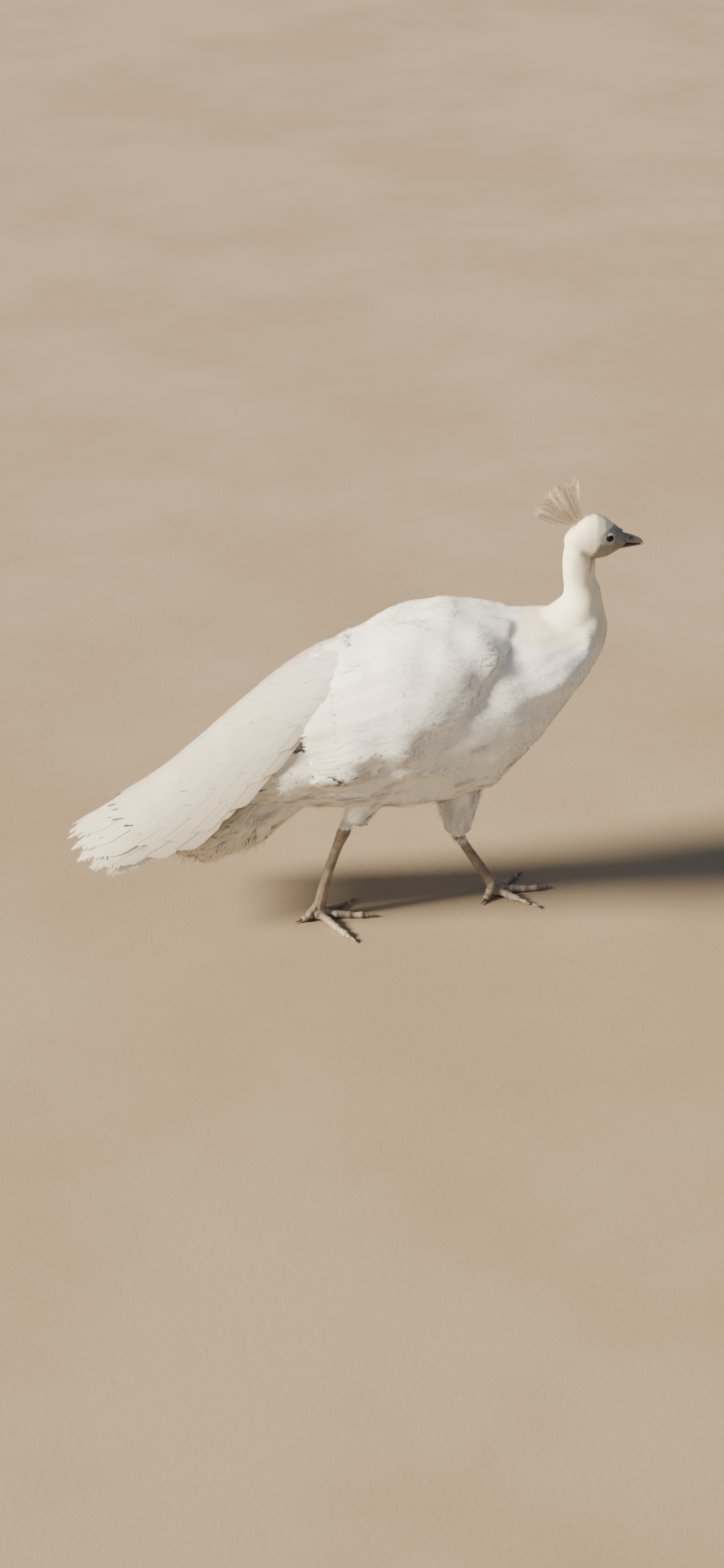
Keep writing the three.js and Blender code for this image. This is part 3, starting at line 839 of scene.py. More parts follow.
class Piece:
    def __init__(self, name, material):
        self.name, self.material = name, material
        self.points, self.faces, self.vane, self.lay, self.patch, self.marks = [], [], [], [], [], []
        self.count = 0

    # points is (feathers, rows, columns, 3), and across and along spread to its first three sizes
    def add(self, points, across, along, tone, shaft, patch, length, width):
        n, rows, cols, _ = points.shape
        self.faces.append(gridFaces(n, rows, cols) + self.count)
        self.points.append(points.reshape(-1, 3))
        across = np.broadcast_to(across, (n, rows, cols))
        along = np.broadcast_to(along, (n, rows, cols))
        size = np.stack([across * width[:, None, None] / mm, along * length[:, None, None] / mm], 3)
        self.vane.append(size.reshape(-1, 2))
        tones = np.broadcast_to(tone[:, None, None], (n, rows, cols))
        lay = np.stack([tones, along, np.full((n, rows, cols), shaft)], 3)
        self.lay.append(lay.reshape(-1, 3))
        near = np.stack([across, along * 2 - 1], 3) * 0.0015 + patch[:, None, None]
        self.patch.append(near.reshape(-1, 2))
        marks = marksAt(points[:, 0, cols // 2])
        self.marks.append(np.repeat(marks, rows * cols, axis=0))
        self.count += n * rows * cols

    def addFringe(self, sheets, tone, patch, length, width, barbs, reach=0.13):
        blades, owner, f = fringeOf(sheets, length, width, barbs, reach)
        across = f[:, None, None] + np.array([-0.05, 0.05])
        self.add(blades, across, [[0.97], [1.0]], tone[owner], 0.0, patch[owner], length[owner], width[owner])

    def addPlumes(self, made, tone, patch, length, width):
        shaft, barb, owner, s = made
        rows = np.linspace(0, 1, shaft.shape[1])[:, None]
        self.add(shaft, [-0.05, 0.05], rows, tone, 1.0, patch, length, width)
        along = np.clip(s[:, None, None] + np.array([[0], [0.1], [0.2]]), 0, 1)
        tone, patch, length, width = tone[owner], patch[owner], length[owner], width[owner]
        self.add(barb, [-0.5, 0.5], along, tone, 0.0, patch, length, width * 0.1)

    def build(self, slot, replaces=(), guide=None, share=0.88):
        points, faces = np.concatenate(self.points), np.concatenate(self.faces)
        if guide is not None:
            # faces are turned to look away from the guide
            _, under, _, _ = nearest(guide, points)
            corner = points[faces]
            facing = np.cross(corner[:, 2] - corner[:, 0], corner[:, 3] - corner[:, 1])
            turned = (unit(facing) * unit(under[faces].sum(1))).sum(1) < -0.05
            faces[turned] = faces[turned][:, ::-1]
        mesh = bpy.data.meshes.new(self.name)
        mesh.from_pydata(points, [], faces)
        mesh.update()
        loops = read(mesh.loops, "vertex_index", 1, np.int32)[:, 0]
        for label, values in (("vane", self.vane), ("OFBake", self.patch)):
            layer = mesh.uv_layers.new(name=label)
            layer.data.foreach_set("uv", np.concatenate(values)[loops].astype(np.float32).ravel())
        for label, values in (("lay", self.lay), ("marks", self.marks)):
            layer = mesh.attributes.new(label, "FLOAT_VECTOR", "POINT")
            layer.data.foreach_set("vector", np.concatenate(values).astype(np.float32).ravel())
        mesh.polygons.foreach_set("use_smooth", np.ones(len(mesh.polygons), bool))
        if guide is not None:
            own = read(mesh.vertex_normals, "vector", 3)[faces]
            # normals lean to the guide's where a face lies along it, so that the coat is lit as one form
            facing[turned] *= -1
            flat = unit(facing)
            agree = smooth01((flat * unit(under[faces].sum(1))).sum(1), -0.1, 0.3)[:, None, None]
            plain = flat[:, None] * (1 - agree) + own * agree
            blend = unit(plain * (1 - agree * share) + under[faces] * (agree * share + 1e-3))
            mesh.normals_split_custom_set(blend.reshape(-1, 3).astype(float).tolist())
        mesh.materials.append(plumage[self.material])
        obj = bpy.data.objects.new(self.name, mesh)
        bpy.context.scene.collection.objects.link(obj)
        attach(obj, "root")
        if replaces:
            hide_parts(*replaces)
        print(self.name, 2 * len(faces), "triangles")
        return obj


# A feather's width along its length, from its root to its tip.
def stepWidth(s):
    return (0.62 + 0.38 * smooth01(s, 0, 0.55)) * (1 - 0.3 * np.clip((s - 0.72) / 0.28, 0, 1) ** 2)


contour = {
    "fine": {"rows": [0, 0.5, 0.85, 1.0], "cols": [-1, 0, 1]},
    "small": {"rows": [0, 0.42, 0.76, 1.0], "cols": [-1, -0.5, 0, 0.5, 1]},
    "full": {"rows": [0, 0.36, 0.66, 0.88, 1.0], "cols": [-1, -0.66, -0.33, 0, 0.33, 0.66, 1]},
    "round": 0.24,  # how far the tip's sides fall back
    "fray": 0.045,
    "camber": 0.018,
    "roll": 0.006,
    "turn": 0.07,
    "sink": 0.18,  # how far into the coat's depth the roots go
    "rise": 0.002,  # height of a tip over the coat, as a share of its length
}


# Values at the share s of each feather's rows.
def alongRows(s, *values):
    last = values[0].shape[1] - 1
    spot = s * last
    low = np.minimum(spot.astype(int), last - 1)
    part = (spot - low)[..., None]
    index = np.arange(len(s)).reshape((-1,) + (1,) * (s.ndim - 1))
    return [v[index, low] * (1 - part) + v[index, low + 1] * part for v in values]


# Flat blades through rows of middles, each with its share of the half width.
def bladesOf(half, *rows):
    return np.stack([np.stack([middle - half * w, middle + half * w], -2) for middle, w in rows], -3)


# Feathers that lie on a surface: each starts depth under it and its tip rises a little.
def laySheets(
    surface, roots, flow, length, width, depth, kind, hug=0.85, rise=None, turn=None, plain=False, over=0.0
):
    rows, cols = np.array(contour[kind]["rows"]), np.array(contour[kind]["cols"])
    n, middle = len(roots), len(cols) // 2
    rise = contour["rise"] if rise is None else rise
    p = roots.copy()
    _, normal, _, _ = nearest(surface, p)
    angle = random.normal(0, contour["turn"] if turn is None else turn, n)
    d = flow * np.cos(angle)[:, None] + np.cross(normal, flow) * np.sin(angle)[:, None]
    sheets = np.empty((n, len(rows), len(cols), 3))
    lift = rise * length * random.uniform(0.5, 1.5, n)
    roll = random.normal(0, contour["roll"], n) * width
    for k, s in enumerate(rows):
        if k:
            p = p + d * (length * (s - rows[k - 1]))[:, None]
        spot, normal, _, _ = nearest(surface, p)
        height = -depth * (1 - s) ** 1.6 * contour["sink"] + lift * s * s + over * min(1, 3 * s)
        now = ((p - spot) * normal).sum(1)
        before = p
        p = p + normal * ((height - now) * (1 if k == 0 else hug))[:, None]
        if k:
            d = unit(p - sheets[:, k - 1, middle])
        d = unit(d - normal * (d * normal).sum(1)[:, None] * 0.8)
        sheets[:, k, middle] = p
        for sign in (-1, 1):
            q, turned = p, normal
            for j in range(1, middle + 1):
                u = cols[middle + sign * j]
                share = abs(u - cols[middle + sign * (j - 1)])
                side = unit(np.cross(d, turned)) * sign
                q = q + side * (width * 0.5 * (1 if plain else stepWidth(s)) * share)[:, None]
                spot, turned, _, _ = nearest(surface, q)
                target = height - contour["camber"] * width * u * u * s + roll * u * s
                q = q + turned * ((target - ((q - spot) * turned).sum(1)) * hug)[:, None]
                sheets[:, k, middle + sign * j] = q
        if k:
            back = contour["round"] * cols**2 * s**2
            worn = random.normal(0, contour["fray"], (n, len(cols))) * (s > 0.99)
            sheets[:, k] -= d[:, None] * (length[:, None] * (back[None] + worn))[:, :, None]
    return sheets, rows, cols


# Loose barbs that stand past the end of each sheet: narrow blades fanned out from its last rows.
def fringeOf(sheets, length, width, barbs, reach=0.13, fan=0.55):
    n, middle = len(sheets), sheets.shape[2] // 2
    last, before = sheets[:, -1], sheets[:, -2]
    along = unit(last[:, middle] - before[:, middle])
    side = unit(last[:, -1] - last[:, 0])
    up = unit(np.cross(side, along))
    f = np.linspace(-1, 1, barbs)[None] + random.normal(0, 0.5 / barbs, (n, barbs))
    f = np.clip(f, -1, 1)
    edge, inner = alongRows((f + 1) / 2, last, before)
    base = edge + (inner - edge) * 0.3
    way = unit(along[:, None] + side[:, None] * (fan * f * np.abs(f) ** 0.5)[:, :, None])
    across = np.cross(way, up[:, None])
    half = (width * 0.55 / barbs)[:, None, None] * random.uniform(0.6, 1.2, (n, barbs, 1))
    long = (length * np.asarray(reach))[:, None, None] * random.uniform(0.45, 1.3, (n, barbs, 1))
    lean = up[:, None] * random.normal(0.0, 0.04, (n, barbs, 1))
    tip = base + (way + lean) * (long + np.linalg.norm(inner - edge, axis=2, keepdims=True) * 0.3)
    blades = bladesOf(across * half, (base, 1), (tip, 0.12))
    return blades.reshape(n * barbs, 2, 2, 3), np.repeat(np.arange(n), barbs), f.ravel()


plume = {
    "rows": 6,
    "barbs": 15,  # on each side
    "barbWidth": 0.34 * mm,
    "shaft": 0.4 * mm,
    "hug": 0.45,
    "droop": 0.10,
}


# Downy feathers: a thin shaft with separate barbs on both sides of it.
def layPlumes(surface, roots, flow, length, width, lift=0.08, hug=None, droop=None):
    n, rows, barbs = len(roots), plume["rows"], plume["barbs"]
    hug = plume["hug"] if hug is None else hug
    droop = plume["droop"] if droop is None else droop
    p = roots.copy()
    _, normal, _, _ = nearest(surface, p)
    angle = random.normal(0, 0.16, n)
    d = flow * np.cos(angle)[:, None] + np.cross(normal, flow) * np.sin(angle)[:, None]
    path, ups, ways = (np.empty((n, rows, 3)) for _ in range(3))
    swing = random.normal(0, 0.10, n)
    for k in range(rows):
        s = k / (rows - 1)
        if k:
            p = p + d * (length / (rows - 1))[:, None]
        spot, normal, _, _ = nearest(surface, p)
        now = ((p - spot) * normal).sum(1)
        target = length * lift * s
        strength = np.where(now < target, 1.0, hug) if k else 1.0
        p = p + normal * ((target - now) * strength)[:, None]
        path[:, k], ups[:, k] = p, normal
        if k:
            d = unit(p - path[:, k - 1])
        ways[:, k] = d
        d = unit(d + np.cross(normal, d) * (swing / rows)[:, None] + np.array([0, 0, -droop]) / rows)
    side = unit(np.cross(ways, ups))
    thick = plume["shaft"] * (1 - 0.8 * np.linspace(0, 1, rows))[None, :, None]
    shaft = np.stack([path - side * thick / 2, path + side * thick / 2], 2)  # a flat band
    j = (np.arange(barbs) + 0.5) / barbs
    s = np.tile(0.08 + 0.92 * j, 2)[None] + random.normal(0, 0.012, (n, 2 * barbs))
    s = np.clip(s, 0.02, 1)
    sign = np.repeat([-1.0, 1.0], barbs)[None, :, None]
    at, up, way, out = alongRows(s, path, ups, ways, side)
    slant = np.radians(62 - 40 * s)[:, :, None] + random.normal(0, 0.10, s.shape)[:, :, None]
    reach = width[:, None] * 0.62 * (0.45 + 0.9 * np.sin(np.pi * np.clip(s * 0.92, 0, 1)) ** 0.7)
    reach = (reach * random.uniform(0.7, 1.2, s.shape))[:, :, None]
    raised = random.normal(0.05, 0.14, s.shape)[:, :, None]
    first = unit(way * np.cos(slant) + out * sign * np.sin(slant) + up * raised)
    onward = random.uniform(0.2, 1.0, s.shape)[:, :, None]
    raised = random.normal(-0.05, 0.2, s.shape)[:, :, None]
    later = unit(first + way * onward + up * raised)
    half = plume["barbWidth"] / 2 * random.uniform(0.7, 1.3, s.shape)[:, :, None]
    half = half * (1 + 0.8 * (reach > 7 * mm))  # long barbs are broader
    middle = at + first * reach * 0.55
    end = middle + later * reach * 0.5
    barb = bladesOf(unit(np.cross(first, up)) * half, (at, 1), (middle, 0.85), (end, 0.15))
    return shaft, barb.reshape(n * 2 * barbs, 3, 2, 3), np.repeat(np.arange(n), 2 * barbs), s.ravel()


# Evenly spread places on a surface, as far apart as spacing says.
def scatter(surface, spacing, keep, turns=6):
    triangles, points = surface["triangles"], surface["points"]
    a, b, c = (points[triangles[:, k]] for k in range(3))
    area = np.linalg.norm(np.cross(b - a, c - a), axis=1) / 2
    gap = spacing[triangles].mean(1)
    weight = area / gap**2 * (keep[triangles].mean(1) > 0.5)
    count = int(weight.sum() * 1.155)
    chosen = random.choice(len(triangles), count, p=weight / weight.sum())
    r1, r2 = np.sqrt(random.random(count)), random.random(count)
    share = np.stack([1 - r1, r1 * (1 - r2), r1 * r2], 1)
    p = sampled(points, triangles[chosen], share)
    reach = sampled(spacing, triangles[chosen], share)
    for _ in range(turns):
        tree = KDTree(count)
        for i, at in enumerate(p.tolist()):
            tree.insert(at, i)
        tree.balance()
        near = np.array([[hit[1] for hit in tree.find_n(at, 8)][1:] for at in p.tolist()])
        off = p[:, None] - p[near]
        far = np.linalg.norm(off, axis=2)
        push = np.clip(1 - far / (reach[:, None] * 1.1), 0, 1) * 0.42
        p = p + (off / np.maximum(far, 1e-9)[:, :, None] * (push * reach[:, None])[:, :, None]).sum(1)
        p, normal, corner, share = nearest(surface, p)
        reach = sampled(spacing, corner, share)
    kept = sampled(keep, corner, share) > 0.5
    return p[kept], normal[kept], corner[kept], share[kept]


def underCover(points, normals, tree, reach):
    cast = tree.ray_cast
    return np.array([
        cast(Vector(p) + Vector(n) * 0.0004, Vector(n), reach)[0] is not None
        for p, n in zip(points.tolist(), normals.tolist())
    ])


# Which part of the bird a place belongs to.
def regionOf(points):
    x, y, z = toBird(points).T
    region = np.full(len(points), "sides", dtype=object)
    region[x > 100] = "breast"
    region[x < -20] = "rear"
    region[(z > 395) & (x > 150)] = "neck"
    region[(z > 484) & (x > 150)] = "head"
    onLeg = (np.abs(y) > 8) & (((x > 30) & (y > 0)) | ((x > -95) & (y < 0) & (x < 30)))
    region[onLeg & (z < 190)] = "thigh"
    region[(x < -130) & (z < 200)] = "vent"
    return region


# Smooth values between rows whose first number is the place that the others belong to.
def between(rows):
    rows = np.array(rows, float)
    if rows[0, 0] > rows[-1, 0]:
        rows = rows[::-1]
    at, values = rows[:, 0], rows[:, 1:]

    def value(x):
        x = np.clip(np.asarray(x, float), at[0], at[-1])
        i = np.clip(np.searchsorted(at, x, side="right"), 1, len(at) - 1)
        t0, t1 = at[i - 1], at[i]
        first, final = i < 2, i > len(at) - 2
        before = np.where(first, i, i - 2)
        after = np.where(final, i - 1, np.minimum(i + 1, len(at) - 1))
        half = (t1 - t0) / 2
        wp = half / (t0 - np.where(first, t1, at[before]))
        wn = half / (np.where(final, t0, at[after]) - t1)
        q = (x - t0) / (t1 - t0)
        sp = -wp * q**3 + 2 * wp * q**2 - wp * q
        s0 = (1 + wp) * q**3 + (-1.5 - 2 * wp) * q**2 + (-0.5 + wp) * q + 1
        s1 = (-1 - wn) * q**3 + (1.5 + wn) * q**2 + 0.5 * q
        sn = wn * q**3 - wn * q**2
        parts = ((sp, before), (s0, i - 1), (s1, i), (sn, after))
        return sum(w[..., None] * values[k] for w, k in parts)

    return value


# Upright sections of the trunk: x, height of the centre, half height, half width.
trunkAt = between([
    (-240, 208, 6, 6), (-203, 226, 56, 50), (-154, 250, 86, 68), (-103, 263, 104, 80),
    (-34, 281, 122, 90), (45, 295, 131, 93), (113, 304, 112, 89), (163, 334, 75, 79),
    (212, 372, 45, 57), (236, 392, 25, 29), (244, 393, 4, 4),
])
# Vault of the tail: x, ridge height, half width, depth to its lower edge.
vaultAt = between([
    (-430, 121, 74, 42), (-362, 170, 69, 66), (-308, 210, 62, 90), (-255, 257, 60, 105),
    (-203, 304, 66, 96), (-152, 345, 71, 75), (-110, 370, 64, 48), (-76, 383, 45, 22),
])


# A place on an upright ellipse: angle is from its top, and lift is along its normal.
def onEllipse(x, top, high, wide, angle, lift, sign=1):
    s, c = np.sin(np.radians(angle)), np.cos(np.radians(angle))
    ny, nz = s / wide, c / high
    size = np.hypot(ny, nz)
    y = sign * (wide * s + ny / size * lift)
    return toRow(np.stack([x + 0 * y, y, top(c) + nz / size * lift], -1))


def onTrunk(sign):
    def at(x, angle, lift):
        middle, high, wide = np.moveaxis(trunkAt(x), -1, 0)
        return onEllipse(x, lambda c: middle + high * c, high, wide, angle, lift, sign)

    return at


def onVault(x, angle, lift):
    ridge, wide, deep = np.moveaxis(vaultAt(x), -1, 0)
    return onEllipse(x, lambda c: ridge - deep * (1 - c), deep, wide, angle, lift)


# A grid of a drawn surface, to find its normals by.
def surfaceFrom(shape, xs, angles):
    points = shape(xs[:, None], angles[None], 0.0).reshape(-1, 3)
    normals = unit(shape(xs[:, None], angles[None], 1.0).reshape(-1, 3) - points)
    quads = gridFaces(1, len(xs), len(angles))
    triangles = np.concatenate([quads[:, [0, 1, 2]], quads[:, [0, 2, 3]]])
    tree = BVHTree.FromPolygons(points.tolist(), triangles.tolist(), all_triangles=True)
    return {"points": points, "normals": normals, "triangles": triangles, "tree": tree}


vault = surfaceFrom(onVault, np.linspace(-440, -70, 75), np.linspace(-100, 100, 81))

longVane = {
    "rows": 22,
    "cols": [-1, -0.8, -0.45, -0.08, 0.08, 0.45, 0.8, 1],
    "tip": 0.14,  # share of the length that rounds off
    "fray": 0.9,  # mm
    "notches": 0.07,
    "shaft": 1.5,  # mm at the root
}


# Long feathers on a drawn surface, from start to end, both given as its two coordinates.
def layLong(surface, start, end, width, lift, roll=0.0, bend=0.0, blunt=0.5, camber=0.06, rows=None):
    rows = np.linspace(0, 1, rows or longVane["rows"]) ** 0.92
    cols = np.array(longVane["cols"])
    n = len(start)
    width = np.broadcast_to(np.asarray(width, float), (n,))
    bend = np.broadcast_to(np.asarray(bend, float), (n,))

    def centre(s):
        a = start[:, 0, None] + (end - start)[:, 0, None] * s
        b = start[:, 1, None] + (end - start)[:, 1, None] * s + bend[:, None] * 4 * s * (1 - s)
        h = lift[:, 0, None] + (lift[:, 1] - lift[:, 0])[:, None] * s
        return a, b, h

    a, b, h = centre(np.broadcast_to(rows, (n, len(rows))))
    path = surface(a, b, h)
    length = np.linalg.norm(np.diff(path, axis=1), axis=2).sum(1)
    full = 0.30 + 0.70 * smooth01(rows, 0, 0.22)
    rounded = np.clip((rows - (1 - longVane["tip"])) / longVane["tip"], 0, 1)
    full = full * np.sqrt(np.clip(1 - (1 - blunt) * rounded**2.2, 0, 1))
    notch = 1 - 0.30 * (random.random((n, len(rows), 2)) < longVane["notches"]) * (rows > 0.3)[None, :, None]
    sheets = np.empty((n, len(rows), len(cols), 3))
    for k, u in enumerate(cols):
        back = (width * mm / length)[:, None] * 0.42 * u * u * smooth01(rows, 0.6, 1.0)[None]
        worn = random.normal(0, longVane["fray"], n)[:, None] * mm / length[:, None] * (rows > 0.99)[None]
        a, b, h = centre(np.clip(rows[None] - back - worn, 0, 1.01))
        here = surface(a, b, h)
        da = (surface(a + 1, b, h) - surface(a - 1, b, h)) / 2
        db = surface(a, b + 0.5, h) - surface(a, b - 0.5, h)
        up = unit(surface(a, b, h + 1) - here)
        along = unit(np.gradient(here, axis=1))
        side = np.cross(along, up)
        cut = notch[:, :, int(u > 0)] if abs(u) > 0.9 else 1
        off = side * (width[:, None] * 0.5 * u * full[None] * mm * cut)[:, :, None]
        # the step off the middle line, in the surface's own two coordinates
        aa, bb, ab = (da * da).sum(2), (db * db).sum(2), (da * db).sum(2)
        ra, rb = (off * da).sum(2), (off * db).sum(2)
        under = aa * bb - ab * ab
        ma, mb = (ra * bb - rb * ab) / under, (rb * aa - ra * ab) / under
        height = h + (roll * u - camber * width[:, None] * u * u) * smooth01(rows, 0, 0.3)[None]
        sheets[:, :, k] = surface(a + ma, b + mb, height)
    # the shaft is a low ridge over the middle
    a, b, h = centre(np.broadcast_to(np.clip(rows * 0.985, 0, 1), (n, len(rows))))
    middle, top = (surface(a, b, h + 0.12 + ridge * (1 - 0.75 * rows)[None]) for ridge in (0, 0.55))
    up = unit(top - middle)
    side = unit(np.cross(unit(np.gradient(middle, axis=1)), up))
    half = (longVane["shaft"] / 2 * (1 - 0.72 * rows) * mm)[None, :, None]
    shafts = np.stack([middle - side * half, top, middle + side * half], 2)
    return sheets, shafts, rows, cols, length


def addLong(piece, made, width, barbs=0, reach=0.05):
    sheets, shafts, rows, cols, length = made
    n = len(sheets)
    width = np.broadcast_to(np.asarray(width, float), (n,)) * mm
    tone = random.random(n)
    patch = patchesAt(sheets[:, 0, len(cols) // 2])
    piece.add(sheets, cols, rows[:, None], tone, 0.0, patch, length, width)
    piece.add(shafts, [-0.05, 0, 0.05], rows[:, None], tone, 1.0, patch, length, width)
    if barbs:
        piece.addFringe(sheets, tone, patch, length, width, barbs, reach)


# The folded wing on the side of the trunk: x of its front and rear edge at the top and at the bottom,
# and the angles of these from the top of the trunk.
wingOutline = {"front": (122, -6), "rear": (-150, -112), "angles": (13, 113)}


def wingEdges(t):
    return lerp(*wingOutline["front"], np.clip(t, 0, 1) ** 1.7), lerp(*wingOutline["rear"], t)


# The coat grows on the flesh that wings, coverts and tail leave open, on the back, and on the wings' front.
covered = underCover(flesh["points"], flesh["normals"], coverTree, 0.014)
x, y, z = toBird(flesh["points"]).T
covered |= (x < -90) & underCover(flesh["points"], flesh["normals"], coverTree, 0.05)
covered &= ~((x < -160) & (z < 190))
ridge, half, deep = vaultAt(x).T
height = ridge - deep * (1 - np.sqrt(np.clip(1 - (y / half) ** 2, 0, 1)))
covered |= (x < -112) & (x > -400) & (z > height - 16)
on, out, _, _ = nearest(vault, flesh["points"])
away = (flesh["points"] - on) / mm
above = (away * out).sum(1)
covered |= (x < -116) & (above > -5) & (np.linalg.norm(away - above[:, None] * out, axis=1) < 3)
bareLeg = (z < 90) | ((y < 0) & (x < -10) & (x > -130) & (z < 141))
back = (x < 150) & (x > -150) & (np.abs(y) < 32) & (z > 360)
keepFlesh = (~bareLeg & ~back & ~(bareAt(flesh["points"]) > 0.5)).astype(float)
keepFlesh *= ~covered
x, y, z = toBird(outer["points"]).T
onWing = np.array([(wingTree.find_nearest(p, 0.007)[0] is not None) for p in outer["points"].tolist()])
middle, high, wide = trunkAt(x).T
top, low = wingOutline["angles"]
downWing = (np.degrees(np.arctan2(np.abs(y) / wide, (z - middle) / high)) - top) / (low - top)
wingFront, wingRear = wingEdges(downWing)
alongWing = (wingFront - x) / (wingFront - wingRear)
onWing &= (alongWing < 0.60) | ((downWing < 0.2) & (x > -125))
isBack = (x < 150) & (x > -112) & (np.abs(y) < 44) & (z > 345)
keepOuter = (isBack | onWing).astype(float)
flesh["keep"], outer["keep"] = relaxed(keepFlesh, flesh["edges"], 2), relaxed(keepOuter, outer["edges"], 2)

pieces = {
    "head": Piece("coatHead", "plumageNeck"),
    "neck": Piece("coatNeck", "plumageNeck"),
    "breast": Piece("coatBreast", "plumageBody"),
    "sides": Piece("coatSides", "plumageBody"),
    "rear": Piece("coatRear", "plumageBody"),
    "thigh": Piece("coatThighs", "plumageBody"),
    "vent": Piece("coatVent", "plumageDown"),
    "back": Piece("coatBack", "plumageBody"),
}
for label, surface in (("flesh", flesh), ("outer", outer)):
    spacing = surface["sizes"][:, 0] * mm
    roots, normals, corner, share = scatter(surface, spacing, surface["keep"])
    flow = sampled(surface["flow"], corner, share)
    flow = unit(flow - normals * (flow * normals).sum(1)[:, None])
    sizes = sampled(surface["sizes"], corner, share)
    region = regionOf(roots) if label == "flesh" else np.full(len(roots), "back", dtype=object)
    for name, piece in pieces.items():
        here = np.nonzero(region == name)[0]
        if not len(here):
            continue
        kind = {"head": "fine", "neck": "small"}.get(name, "full")
        loose = random.random(len(here)) < sizes[here, 4]
        for some in (here[~loose], here[loose]):
            if not len(some):
                continue
            length = sizes[some, 1] * mm * random.uniform(0.88, 1.12, len(some))
            width = sizes[some, 2] * mm * random.uniform(0.9, 1.1, len(some))
            tone = random.random(len(some))
            patch = patchesAt(roots[some])
            start = surface, roots[some], flow[some], length, width
            if some[0] in here[loose]:
                piece.addPlumes(layPlumes(*start), tone, patch, length, width)
                continue
            sheets, rows, cols = laySheets(*start, sizes[some, 3] * mm, kind)
            piece.add(sheets, cols, rows[:, None], tone, 0.0, patch, length, width)
            if name != "head":
                long = 0.07 + 0.18 * np.clip(sizes[some, 4] * 2, 0, 1)
                piece.addFringe(sheets, tone, patch, length, width, 5 if name == "neck" else 7, long)
    print(label, "coat", len(roots), "feathers")
slots = {"vent": "down", "thigh": "down"}


# Rows of loose feathers laid along listed lines. A line is x, y, z in millimetres on the left side,
# and shared is the place on it.
def alongLine(line, shared):
    line = np.array(line, float)
    far = np.concatenate([[0], np.cumsum(np.linalg.norm(np.diff(line, axis=0), axis=1))])
    at = np.asarray(shared) * far[-1]
    spots = (at, np.minimum(at + 2, far[-1]), np.maximum(at - 2, 0))
    place, ahead, behind = (np.stack([np.interp(spot, far, v) for v in line.T], 1) for spot in spots)
    return place, unit(ahead - behind)


def layRow(
    piece, surface, places, ways, length, width, rise, hug, barbs, reach, depth=1.0, turn=0.12, over=0.0
):
    roots, normal, _, _ = nearest(surface, toRow(places))
    flow = unit(ways - normal * (ways * normal).sum(1)[:, None])
    n = len(roots)
    length = np.asarray(length, float) * mm * random.uniform(0.85, 1.15, n)
    width = np.asarray(width, float) * mm * random.uniform(0.88, 1.12, n)
    start = surface, roots, flow, length, width, np.full(n, depth * mm)
    sheets, rows, cols = laySheets(*start, "full", hug, rise, turn, False, over * mm)
    tone, patch = random.random(n), patchesAt(roots)
    piece.add(sheets, cols, rows[:, None], tone, 0.0, patch, length, width)
    piece.addFringe(sheets, tone, patch, length, width, barbs, reach)


hems = {
    "left": ((67, 30, 118), (67, 28, 96), 20),
    "right": ((-60, -30, 168), (-69, -27, 148), 20),
    "feather": (19, 8.5, 0.03, 0.55, 9, 0.3),  # length, width, rise, hug, barbs and their reach
    "each": 15,
}
for side, sign in sides.items():
    above, below, radius = (np.array(v, float) for v in hems[side])
    way = unit(below - above)
    for ring, share in enumerate((0.0, 0.45, 0.85)):
        angle = (np.arange(hems["each"]) + 0.5 * (ring % 2)) * 2 * np.pi / hems["each"]
        across = unit(np.cross(way, [0, 1.0, 0]))
        other = np.cross(way, across)
        around = np.cos(angle)[:, None] * across + np.sin(angle)[:, None] * other
        places = lerp(above, below, share) + radius * around
        layRow(pieces["thigh"], flesh, places, np.tile(way, (len(angle), 1)), *hems["feather"])

# Lobes of loose feathers under the tail: count, length, width, rise, and the line of their roots.
ventLobes = {
    "outer": (13, 54, 20, 0.10, [
        (-272, 44, 136), (-245, 48, 158), (-215, 50, 178), (-185, 54, 196), (-155, 60, 212),
    ]),
    "inner": (12, 52, 19, 0.12, [
        (-280, 18, 122), (-262, 30, 134), (-235, 36, 146), (-205, 40, 160), (-170, 44, 176),
    ]),
    "low": (11, 44, 17, 0.14, [
        (-276, 6, 116), (-258, 18, 112), (-232, 26, 122), (-204, 32, 138), (-172, 38, 156),
    ]),
}
for number, length, width, rise, line in ventLobes.values():
    for side, sign in sides.items():
        places, _ = alongLine(line, (np.arange(number) + 0.5) / number)
        places[:, 1] *= sign
        ways = np.array([-0.55, -0.25 * sign, -0.80]) + random.normal(0, 0.12, (number, 3))
        layRow(pieces["vent"], flesh, places, ways, length, width, rise, 0.45, 13, 0.28)
for name, piece in pieces.items():
    if piece.count:
        piece.build(slots.get(name, "plumage"), guide=outer if name == "back" else flesh)


